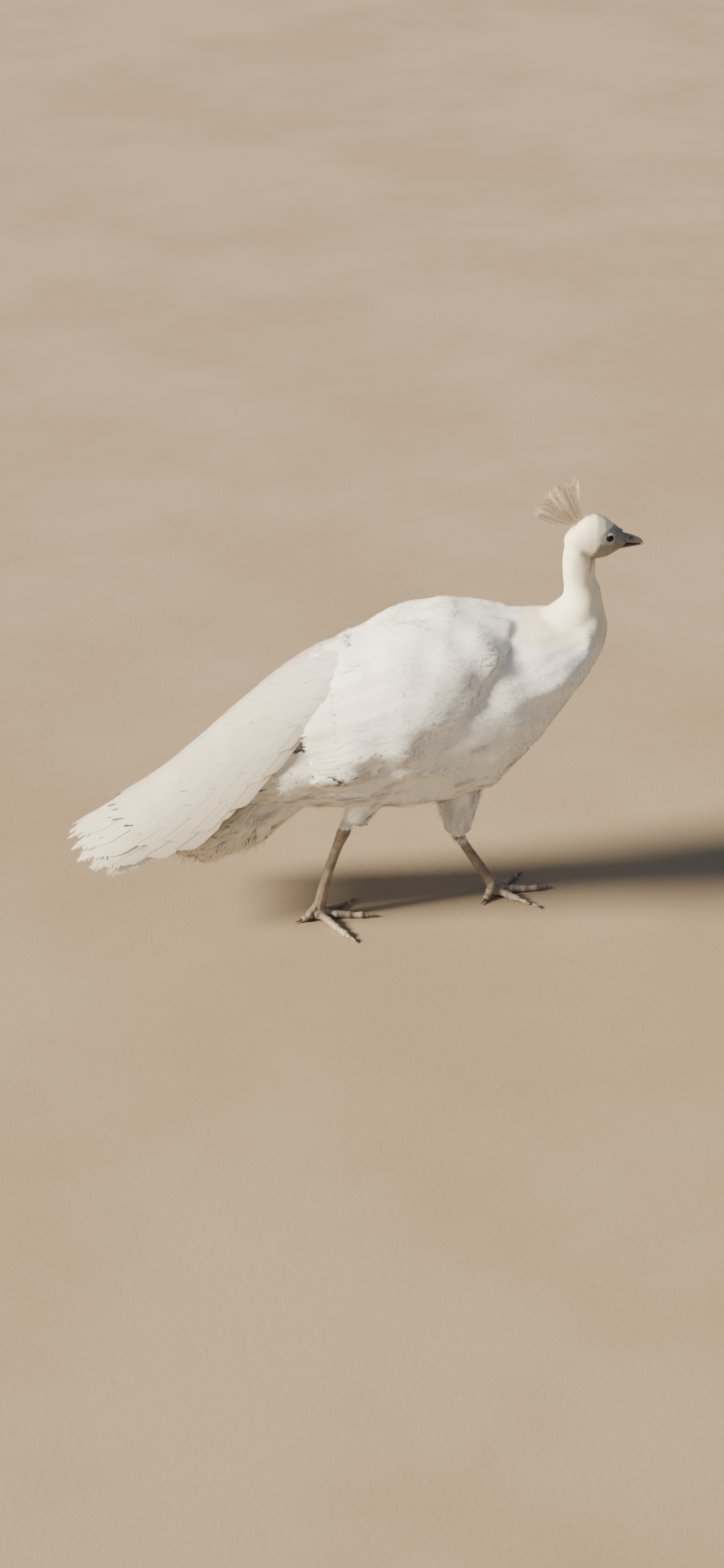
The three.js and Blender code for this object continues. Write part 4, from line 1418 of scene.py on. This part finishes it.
wing = {
    # count, root, tip, first and last place down the wing, width, drift down the wing, lift of root and tip
    "rows": {
        "primaries": (8, 0.56, 1.05, 0.70, 0.985, 17, 0.015, -2.4, -0.4),
        "secondaries": (12, 0.50, 1.03, 0.17, 0.74, 27, 0.02, -2.0, 0.2),
        "greaterCoverts": (14, 0.46, 0.84, 0.17, 0.97, 22, 0.03, -0.6, 1.2),
    },
    # the ruffled front edge and the loose lower edge, on the left side
    "frontEdge": [
        (113, 48, 401), (110, 55, 396), (101, 67, 384), (91, 78, 369), (80, 85, 352), (66, 90, 340),
        (52, 94, 324), (39, 96, 309), (26, 97, 296), (12, 97, 284), (-4, 96, 273),
    ],
    "lowEdge": [
        (26, 97, 292), (3, 96, 273), (-15, 95, 262), (-32, 93, 252), (-49, 89, 241), (-66, 83, 229),
        (-86, 76, 222), (-112, 70, 224),
    ],
    # offset behind the edge, count, length, width, rise
    "ruffles": [
        (-7, 30, 19, 10, 0.04), (-1, 30, 21, 11, 0.05), (5, 30, 22, 11, 0.05), (11, 30, 23, 12, 0.03),
        (17, 28, 24, 12, 0.02),
    ],
    "skirt": [(15, 24, 32, 12, 0.03), (6, 26, 28, 10, 0.03), (-1, 24, 24, 9, 0.02)],
}


# A place on the wing, s from its front to its rear and t from its top down, and its height over the trunk.
def wingPlace(s, t):
    return np.stack([lerp(*wingEdges(t), s), lerp(*wingOutline["angles"], t)], -1)


def wingLift(s, t):
    dome = np.minimum(1, 3.2 * s) * np.minimum(1, 2.2 * np.clip(1 - s, 0, 1))
    return 2.6 + 6.4 * (dome * np.sin(np.pi * np.clip(t, 0, 1)) ** 0.6)


for side, sign in sides.items():
    flight = Piece(f"wingFeathers_{side}", "plumageFlight")
    for number, rootAt, tipAt, first, final, width, drift, rootLift, tipLift in wing["rows"].values():
        t = np.linspace(first, final, number)
        start = wingPlace(np.full(number, rootAt), t)
        end = wingPlace(tipAt + random.normal(0, 0.008, number), np.minimum(t + drift, 1.02))
        lift = np.stack([wingLift(rootAt, t) + rootLift, wingLift(min(tipAt, 0.97), t) + tipLift], 1)
        bend = random.normal(0, 0.8, number)
        made = layLong(onTrunk(sign), start, end, width, lift, roll=-0.5 * sign, bend=bend)
        addLong(flight, made, width, 12)
    mirror = np.array([1, sign, 1])
    edge = Piece(f"wingRuffles_{side}", "plumageBody")
    for offset, number, length, width, rise in wing["ruffles"]:
        shared = (np.arange(number) + random.uniform(0.1, 0.9, number)) / number
        places, way = alongLine(wing["frontEdge"], shared)
        back = unit(np.cross(way, unit(places * np.array([0, 1, 0.3]) + np.array([0, 0, -85.0]))))
        back = back * np.sign(-back[:, :1])
        places = (places + back * offset + random.normal(0, 1.2, (number, 3))) * mirror
        ways = (way * 0.85 + np.array([-0.42, 0, 0.0]) + random.normal(0, 0.12, (number, 3))) * mirror
        layRow(edge, outer, places, ways, length, width, rise, 0.85, 7, 0.07, 1.0, 0.10, 0.9)
    for offset, number, length, width, rise in wing["skirt"]:
        shared = (np.arange(number) + random.uniform(0.2, 0.8, number)) / number
        places, way = alongLine(wing["lowEdge"], shared)
        places = (places + np.array([0.35, 0, 0.94]) * offset) * mirror
        ways = (np.array([-0.80, 0, -0.60]) + random.normal(0, 0.07, (number, 3))) * mirror
        layRow(flight, outer, places, ways, length, width, rise, 0.6, 13, 0.25, 0.8, 0.06, 0.6)
    flight.build("plumage", [f"wing_{side}"], guide=outer, share=0.7)
    edge.build("plumage", guide=outer)


tail = {
    "perSide": 9,
    "tipMiddle": -425,
    "tipOuter": -369,
    "rootReach": 50,
    "tipReach": 91,
    "ragged": 2.5,  # mm
    "clump": 5.0,  # mm that every second feather is longer
    "width": (36, 27),  # mm, of the middle feather and the outer one
    # covert rows: x of the tips at the ridge, x of the tips at the sides, count, length, width
    "coverts": [
        (-118, -112, 11, 46, 20), (-142, -134, 11, 50, 22), (-168, -156, 12, 56, 24),
        (-196, -180, 12, 64, 26), (-226, -206, 13, 72, 28), (-258, -234, 13, 80, 30),
        (-292, -264, 13, 90, 31), (-330, -296, 13, 100, 32), (-374, -330, 12, 114, 33),
    ],
    "covertReach": 90,
    "stagger": 9,
}

for side, sign in sides.items():
    quills = Piece(f"tailFeathers_{side}", "plumageFlight")
    t = (np.arange(tail["perSide"]) + 0.5) / tail["perSide"]
    order = np.arange(tail["perSide"])
    tip = lerp(tail["tipMiddle"] + 3, tail["tipOuter"], t**1.6)
    tip = tip + random.uniform(-1, 1, tail["perSide"]) * tail["ragged"]
    tip = tip + np.where(order % 2, tail["clump"], -tail["clump"])
    start = np.stack([np.full(len(t), -215.0), sign * t * tail["rootReach"]], 1)
    end = np.stack([tip, sign * t * tail["tipReach"]], 1)
    lift = np.stack([-9.0 - 5 * t - 0.25 * order, -0.5 - 3 * t - 0.2 * order], 1)
    width = lerp(tail["width"][0], tail["width"][1], t)
    shape = {"roll": 0.15 * sign, "bend": sign * t * 7, "blunt": 0.02, "camber": 0.006, "rows": 30}
    made = layLong(onVault, start, end, width, lift, **shape)
    addLong(quills, made, width, 7, 0.022)
    quills.build("plumage", [f"tail_{side}"], guide=vault, share=0.85)

train = Piece("tailCovertFeathers", "plumageFlight")
for k, (tipRidge, tipSide, number, length, width) in enumerate(tail["coverts"]):
    across = np.linspace(-1, 1, number) if k % 2 else np.linspace(-1, 1, number + 1)[:-1] + 1 / number
    across = across * 0.97
    tip = lerp(tipRidge, tipSide, np.abs(across) ** 1.5)
    tip = tip + random.uniform(-1, 1, len(across)) * tail["stagger"]
    end = np.stack([tip, across * tail["covertReach"]], 1)
    start = np.stack([np.minimum(tip + length * 0.86, -77), across * tail["covertReach"] * 0.9], 1)
    lift = np.stack([np.full(len(across), -1.3), 0.05 + random.uniform(0, 0.12, len(across))], 1)
    made = layLong(onVault, start, end, width, lift, bend=0.0, blunt=0.15, camber=0.004, rows=14)
    addLong(train, made, width)
train.build("plumage", ["tail_coverts"], guide=vault, share=0.9)

# Skin: cream under the coat, marked on the face, and tan and scaly on the legs. The face's colour is darker
# in its creases and paler on the rises between them: painted shade and light.
skinFinish = {
    "under": (0.88, 0.84, 0.76, 1),
    "legPale": (0.47, 0.385, 0.29, 1),
    "legDark": (0.215, 0.175, 0.135, 1),
    "scaleSize": 520.0,
    "plateSize": 160.0,
    "poreSize": 1500.0,
}
scalySkin, take, give = groupOf(
    "scalySkin",
    {
        "Place": None,
        "Size": 520.0,
        "Pale": (0.47, 0.385, 0.29, 1),
        "Dark": (0.215, 0.175, 0.135, 1),
        "Relief": 0.4,
    },
    {"Color": "Color", "Normal": "Vector"},
)
net = scalySkin
cells = net.add("TexVoronoi", {"Vector": take["Place"], "Scale": take["Size"]}, feature="DISTANCE_TO_EDGE")
seam = net.ramped(cells.outputs["Distance"], 0.0, 0.16)
worn = net.ramped(net.noise(take["Place"], 55.0, 5.0, 0.6), 0.36, 0.68)
grain = net.noise(take["Place"], 1300.0, 2.0)
paint = net.mixed(worn, take["Dark"], take["Pale"])
paint = net.mixed(net.times(net.rest(seam), 0.55), paint, take["Dark"])
heights = net.plus(seam, net.times(grain, 0.25))
net.feed(give, {"Color": paint, "Normal": net.bumped(heights, take["Relief"], 0.0004)})


def scalyOn(net, place, size, relief):
    pale, dark = skinFinish["legPale"], skinFinish["legDark"]
    return net.group(scalySkin, {"Place": place, "Size": size, "Pale": pale, "Dark": dark, "Relief": relief})


plumage["legScale"], net, shader = materialOf("legScale")
plate = scalyOn(net, net.objectPlace(), skinFinish["plateSize"], 0.2)
tone, along, _ = net.parts(net.stored("lay"))
edged = net.mixed(net.ramped(along, 0.78, 1.0, to=(0.0, 0.6)), plate["Color"], skinFinish["legDark"])
toned = net.scaled(edged, net.ramped(tone, 0.0, 1.0, to=(0.82, 1.1)))
net.feed(shader, {"Base Color": toned, "Normal": plate["Normal"], "Roughness": 0.5})

skinMaterial, net, shader = materialOf("birdSkin")
source, bare = net.objectPlace(), net.stored("bareLeg", "Fac")
pores = net.noise(source, skinFinish["poreSize"], 3.0, 0.7)
creases = net.noise(source, 330.0, 4.0, 0.65)
marked = net.group(headMarks, {"Base": skinFinish["under"], "Marks": net.stored("marks"), "Place": source})
# the face's colour follows the creases' bump: darker in them as painted shade, paler on the rises as painted
# light
face = net.scaled(marked["Color"], net.ramped(creases, 0.3, 0.7, to=(0.84, 1.08)))
scaly = scalyOn(net, source, skinFinish["scaleSize"], 0.45)
relief = net.bumped(net.plus(pores, net.times(creases, 1.6)), 0.16, 0.0004)
net.feed(shader, {
    "Base Color": net.mixed(bare, face, scaly["Color"]),
    "Normal": net.add("Mix", {0: bare, 4: relief, 5: scaly["Normal"]}, data_type="VECTOR").outputs[1],
    "Roughness": 0.58,
    "Specular IOR Level": 0.35,
})
skin.data.materials.append(skinMaterial)
spots = placesOf(skin)
x, y, z = spots.T
onRightShank = (y < 0) & (x < shift - 0.02) & (x > shift - 0.13)
leg = np.where(onRightShank, 1 - smooth01(z, 0.146, 0.156), 1 - smooth01(z, 0.098, 0.108))
layer = skin.data.attributes.new("marks", "FLOAT_VECTOR", "POINT")
layer.data.foreach_set("vector", marksAt(spots).astype(np.float32).ravel())
layer = skin.data.attributes.new("bareLeg", "FLOAT", "POINT")
layer.data.foreach_set("value", leg.astype(np.float32))
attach(skin, "root")
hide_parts(*fleshNodes)
print("skin finished")


scutes = {
    "front": (7.0, 12.5, 0.02, 0.97),  # pitch, width, start and end along the front of the shank
    "rear": (6.2, 9.0, 0.10, 0.90),
    "toe": (3.5, 8.4),
    "overlap": 1.28,
    "rise": 0.055,
}
skinSurface = surfaceOf(skin)


def addScutes(piece, roots, way, pitch, width):
    roots, normal, _, _ = nearest(skinSurface, roots)
    flow = np.tile(way, (len(roots), 1))
    flow = unit(flow - normal * (flow * normal).sum(1)[:, None])
    length, width = np.full(len(roots), pitch * scutes["overlap"]) * mm, width * mm
    start = skinSurface, roots, flow, length, width, np.full(len(roots), 0.35 * mm)
    sheets, rows, cols = laySheets(*start, "full", 1.0, scutes["rise"], 0.02, True)
    tone = random.random(len(roots))
    piece.add(sheets, cols, rows[:, None], tone, 0.0, patchesAt(roots), length, width)


for side, leg in legs.items():
    plates = Piece(f"legScales_{side}", "legScale")
    hock, ball = np.array(leg["hock"], float), np.array(leg["ball"], float)
    down = ball - hock
    long = np.linalg.norm(down)
    down = down / long
    across = np.array([0.0, 1, 0])
    ahead = unit(np.cross(across, -down))
    for way, (pitch, wide, begin, stop) in ((1, scutes["front"]), (-1, scutes["rear"])):
        share = np.arange(begin, stop, pitch / long)
        centre = hock + down * long * share[:, None]
        roots = toRow(centre + ahead * way * 8)
        size = 1.0 - 0.22 * np.sin(np.pi * np.clip(share, 0, 1))
        addScutes(plates, roots, down, pitch, wide * size)
    for kind, (angle, reach) in leg["toes"].items():
        turn = np.radians(leg["heading"] + angle)
        way = np.array([np.cos(turn), np.sin(turn), 0.0])
        pitch, wide = scutes["toe"]
        along = np.arange(9.0 if kind != "hind" else 10.0, reach - 1.5, pitch)
        roots = toRow(np.array([ball[0], ball[1], 0]) + way * along[:, None] + np.array([0, 0, 16.0]))
        addScutes(plates, roots, way, pitch, wide * lerp(1.0, 0.72, along / reach))
    plates.build("leg_skin")


clawFinish = {"dark": (0.10, 0.085, 0.075, 1), "pale": (0.30, 0.25, 0.20, 1)}
clawMaterial, net, shader = materialOf("clawHorn")
streaks = net.noise(net.objectPlace(), 260.0, 4.0, 0.6)
net.feed(shader, {
    "Base Color": net.mixed(net.ramped(streaks, 0.35, 0.7), clawFinish["dark"], clawFinish["pale"]),
    "Normal": net.bumped(streaks, 0.3, 0.0003),
    "Roughness": 0.42,
})


def finished(obj, material, slot, *replaced):
    obj.data.materials.clear()
    obj.data.materials.append(material)
    only(obj)
    bpy.ops.object.shade_smooth()
    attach(obj, "root")
    if replaced:
        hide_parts(*replaced)
    return obj


for side in sides:
    for kind in toeKinds:
        claw = wholeOf([f"claw_{kind}_{side}"], f"claw_{kind}_{side}_horn", 0.4 * mm, 3)
        finished(claw, clawMaterial, "claw", f"claw_{kind}_{side}")

billLook = {
    "nostril": (46.2, -2.6),  # in the head's frame: x and z
    "nostrilSize": (3.1, 1.15),
    "nostrilDepth": 1.5,
    "overhang": 0.34,
    "overlap": 1.3,
    "flatter": 2.6,  # mm that the ridge is lowered
    "grey": (0.23, 0.205, 0.205, 1),
    "ridge": (0.15, 0.14, 0.145, 1),
    "tip": (0.33, 0.27, 0.235, 1),
    # edge: the dark of the painted shade along the cutting edge and on the lower bill; it also colours the
    # horn's streaks
    "edge": (0.07, 0.052, 0.042, 1),
    # near black inside the nostril: painted shade in the opening
    "nostrilShade": (0.03, 0.027, 0.028, 1),
}
headPlace = toRow([headAt])[0]
(nostrilX, nostrilZ), (nostrilLong, nostrilHigh) = billLook["nostril"], billLook["nostrilSize"]
billMaterial, net, shader = materialOf("billHorn")
centred = net.mapped(net.objectPlace(), {"Location": tuple(-headPlace * 1000), "Scale": (1000, 1000, 1000)})
x, y, z = net.parts(centred)
layers = net.noise(net.mapped(centred, {"Scale": (0.22, 1.6, 1.6)}), 1.0, 4.0, 0.6)
toTip = net.ramped(net.plus(x, net.times(net.minus(layers, 0.5), 3.0)), 49.0, 60.0)
ridgeLine = net.plus(z, net.times(net.minus(x, 40.0), 0.33))
ridgeMask = net.ramped(net.minus(ridgeLine, net.times(net.calc("ABSOLUTE", y), 0.9)), 0.2, 4.5)
drop = net.times(net.calc("MAXIMUM", net.minus(x, 52.0), 0.0), 0.16)
edgeLine = net.plus(z, net.plus(10.9, drop))  # 0 along the cutting edge
# a dark line along the cutting edge and the lower bill below it darkened: painted shade in the gap and under
# the upper bill
mouthLineShadeMask = net.rest(net.ramped(net.calc("ABSOLUTE", edgeLine), 0.15, 0.8))
lowerBillShadeMask = net.rest(net.ramped(edgeLine, -0.9, 0.3))
# the nostril's opening is painted near black: painted shade in the hole
squares = [
    net.calc("POWER", net.calc("ABSOLUTE", net.calc("DIVIDE", net.minus(value, middle), size)), 2.0)
    for value, middle, size in ((x, nostrilX, nostrilLong), (z, nostrilZ, nostrilHigh))
]
nostrilShadeMask = net.rest(net.ramped(net.plus(*squares), 0.35, 1.0))
paint = net.mixed(ridgeMask, billLook["grey"], billLook["ridge"])
for share, colour in (
    (toTip, "tip"),
    (net.times(lowerBillShadeMask, 0.7), "edge"),
    (net.times(mouthLineShadeMask, 0.85), "edge"),
    (net.calc("MULTIPLY", net.minus(layers, 0.35), 0.4, clamp=True), "edge"),
    (nostrilShadeMask, "nostrilShade"),
):
    paint = net.mixed(share, paint, billLook[colour])
net.feed(shader, {
    "Base Color": paint,
    "Normal": net.bumped(layers, 0.35, 0.0003),
    "Roughness": net.ramped(layers, 0.3, 0.7, to=(0.32, 0.5)),
})

upper = wholeOf(["bill_upper"], "billUpper", 0.5 * mm, 5)
spots = placesOf(upper)
x, y, z = ((spots - headPlace) / mm).T
spread = ((x - nostrilX) / nostrilLong) ** 2 + ((z - nostrilZ) / nostrilHigh) ** 2
hood = ((x - nostrilX) / 4.4) ** 2 + ((z - nostrilZ - 1.9) / 1.2) ** 2
inward = np.exp(-(spread**1.5)) * billLook["nostrilDepth"] - np.exp(-hood) * 0.4
spots[:, 1] *= 1 + billLook["overhang"] * smooth01(-z, 4, 9.5)
spots[:, 2] -= billLook["overlap"] * smooth01(-z, 7, 10) * (1 - smooth01(x, 54, 60)) * mm
spots[:, 1] -= np.sign(y) * inward * (np.abs(y) > 2.0) * mm
flat = smooth01(x, 34, 42) * (1 - smooth01(x, 53, 61)) * smooth01(z, -9, 3)
spots[:, 2] -= billLook["flatter"] * flat * mm
place(upper, spots)
finished(upper, billMaterial, "bill", "bill_upper")
finished(wholeOf(["bill_lower"], "billLower", 0.5 * mm, 5), billMaterial, "bill", "bill_lower")


eyeFinish = {
    "iris": ((0.004, 0.003, 0.002, 1), (0.011, 0.007, 0.004, 1)),
    "pupil": (0.003, 0.003, 0.003, 1),
    "rim": (0.010, 0.009, 0.009, 1),
}
eyeMaterial, net, shader = materialOf("eyeGlass")
eyeMiddle = (-eyes["left"][0] * 1000, 0, -eyes["left"][2] * 1000)
centred = net.mapped(net.objectPlace(), {"Location": eyeMiddle, "Scale": (1000, 0, 1000)})
distance = net.add("VectorMath", {0: centred}, operation="LENGTH").outputs["Value"]
paint = net.mixed(net.ramped(net.noise(centred, 2.2, 3.0), 0.3, 0.7), *eyeFinish["iris"])
pupilMask = net.rest(net.ramped(distance, eyeLook["pupil"] - 0.25, eyeLook["pupil"] + 0.15))
paint = net.mixed(pupilMask, paint, eyeFinish["pupil"])
rimMask = net.ramped(distance, eyeLook["iris"] - 0.3, eyeLook["iris"] + 0.3)
paint = net.mixed(rimMask, paint, eyeFinish["rim"])
net.feed(shader, {"Base Color": paint, "Roughness": 0.08, "Specular IOR Level": 0.2})
for side, sign in sides.items():
    deselect()
    bpy.ops.mesh.primitive_uv_sphere_add(
        segments=48, ring_count=32, radius=eyeLook["radius"] * mm, rotation=(math.pi / 2, 0, 0)
    )
    ball = bpy.context.object
    ball.name = f"eyeball_{side}"
    bpy.ops.object.transform_apply(location=False, rotation=True, scale=False)
    spots = placesOf(ball)
    radius = np.hypot(spots[:, 0], spots[:, 2]) / mm
    bulge = 0.35 * (1 - smooth01(radius, 1.5, 4.0)) * (sign * spots[:, 1] > 0)
    spots[:, 1] += sign * bulge * mm
    place(ball, spots + eyes[side])
    finished(ball, eyeMaterial, "eye", f"eye_{side}")


crest = {
    "plumes": 58,
    "lean": 134,  # degrees from straight ahead, of the middle plume
    "spread": 68,  # degrees from the first plume to the last
    "splay": 9,  # degrees to each side
    "root": (-17, 20.5),  # x and z in the head's frame
    "rootSpread": (11, 6),
    "length": (54, 46),  # mm, of the first plume and the last
    "webFrom": 0.22,  # share of the length where the web starts
    "webWidth": 5.6,
    "barbs": 40,
    "sparse": 7,  # barbs below the web
    "shaft": 0.45,
}


def crestPlumes():
    n = crest["plumes"]
    share = (np.arange(n) + 0.5) / n
    angle = np.radians(crest["lean"] + crest["spread"] * (share - 0.5) + random.normal(0, 1.6, n))
    tilt = np.radians(crest["splay"]) * random.uniform(-1, 1, n)
    along = np.stack([np.cos(angle) * np.cos(tilt), np.sin(tilt), np.sin(angle) * np.cos(tilt)], 1)
    root = np.stack([
        crest["root"][0] - crest["rootSpread"][0] * (share - 0.5),
        crest["rootSpread"][1] * 0.5 * np.sin(tilt) / np.sin(np.radians(crest["splay"])),
        crest["root"][1] - 2.6 - 4.0 * share,
    ], 1) + headAt
    length = lerp(crest["length"][0], crest["length"][1], share) * random.uniform(0.94, 1.03, n)
    rows = np.linspace(0, 1, 12)
    back = np.stack([-along[:, 2], np.zeros(n), along[:, 0]], 1)
    bow = random.normal(0.0, 0.03, n) + 0.03
    path = root[:, None] + along[:, None] * (length[:, None] * rows)[:, :, None]
    path = path + back[:, None] * ((length * bow)[:, None] * np.sin(np.pi * rows))[:, :, None]
    ways = unit(np.gradient(path, axis=1))
    across = unit(np.cross(ways, np.array([0.0, 1, 0]) + random.normal(0, 0.25, (n, 1, 3))))
    up = unit(np.cross(across, ways))
    half = (crest["shaft"] / 2 * (1 - 0.55 * rows))[None, :, None]
    corners = np.radians([0, 120, 240, 360])
    tube = np.stack([path + (across * np.cos(a) + up * np.sin(a)) * half for a in corners], 2)
    webs, owners, places = [], [], []
    far = crest["webFrom"]
    near = np.linspace(0.16, far - 0.05, crest["sparse"])
    fan = np.linspace(far, 0.995, crest["barbs"])
    for sign in (-1, 1):
        for number, (spot, isWeb) in enumerate([(v, 0) for v in near] + [(v, 1) for v in fan]):
            s = np.clip(spot + random.normal(0, 0.006, n), 0, 1)
            base, way, out, top = alongRows(s, path, ways, across, up)
            q = (spot - far) / (1 - far)
            reach = crest["webWidth"] * (0.35 + 0.9 * q * (1.25 - 0.55 * q)) if isWeb else 1.5
            reach = (reach * random.uniform(0.6, 1.2, n))[:, None]
            angleOut = np.radians(lerp(40, 18, q) if isWeb else 38) + random.normal(0, 0.13, (n, 1))
            raised = random.normal(0, 0.06, (n, 1))
            first = unit(way * np.cos(angleOut) + out * sign * np.sin(angleOut) + top * raised)
            later = unit(first + way * 0.5 + top * random.normal(0, 0.05, (n, 1)))
            half = (0.20 if isWeb else 0.13) * unit(np.cross(first, top))
            middle = base + first * reach * 0.6
            webs.append(bladesOf(half, (base, 0.7), (middle, 1.0), (middle + later * reach * 0.55, 0.25)))
            owners.append(np.arange(n))
            places.append(s)
    return toRow(tube), toRow(np.concatenate(webs)), np.concatenate(owners), np.concatenate(places), length


plumes = Piece("crestPlumes", "plumageCrest")
tube, webs, owner, s, length = crestPlumes()
tone = random.random(crest["plumes"])
patch = patchesAt(tube[:, 0, 0])
wide = np.full(crest["plumes"], 1.0 * mm)
rows = np.linspace(0, 1, tube.shape[1])[:, None]
plumes.add(tube, np.array([-1, -0.3, 0.3, 1]) * 0.1, rows, tone, 1.0, patch, length * mm, wide)
tone, patch, length, wide = tone[owner], patch[owner], length[owner], wide[owner]
plumes.add(webs, [-0.5, 0.5], s[:, None, None], tone, 0.0, patch, length * mm, wide)
plumes.build("plumage", ["crest"])
for obj in (fleshObject, outerObject):
    bpy.data.objects.remove(obj)


deselect()
bpy.ops.mesh.primitive_plane_add(size=80, location=(0, 0, 0))
floor = bpy.context.object
floor.name = "floor"
floorMaterial, net, shader = materialOf("paleFloor")
source = net.objectPlace()
patchy = net.ramped(net.noise(source, 1.6, 5.0, 0.6), 0.35, 0.65)
net.feed(shader, {
    "Base Color": net.mixed(patchy, studio["floorPale"], studio["floorDark"]),
    "Normal": net.bumped(net.noise(source, 140.0, 3.0, 0.6), 0.15, 0.002),
    "Roughness": 0.92,
})
floor.data.materials.append(floorMaterial)
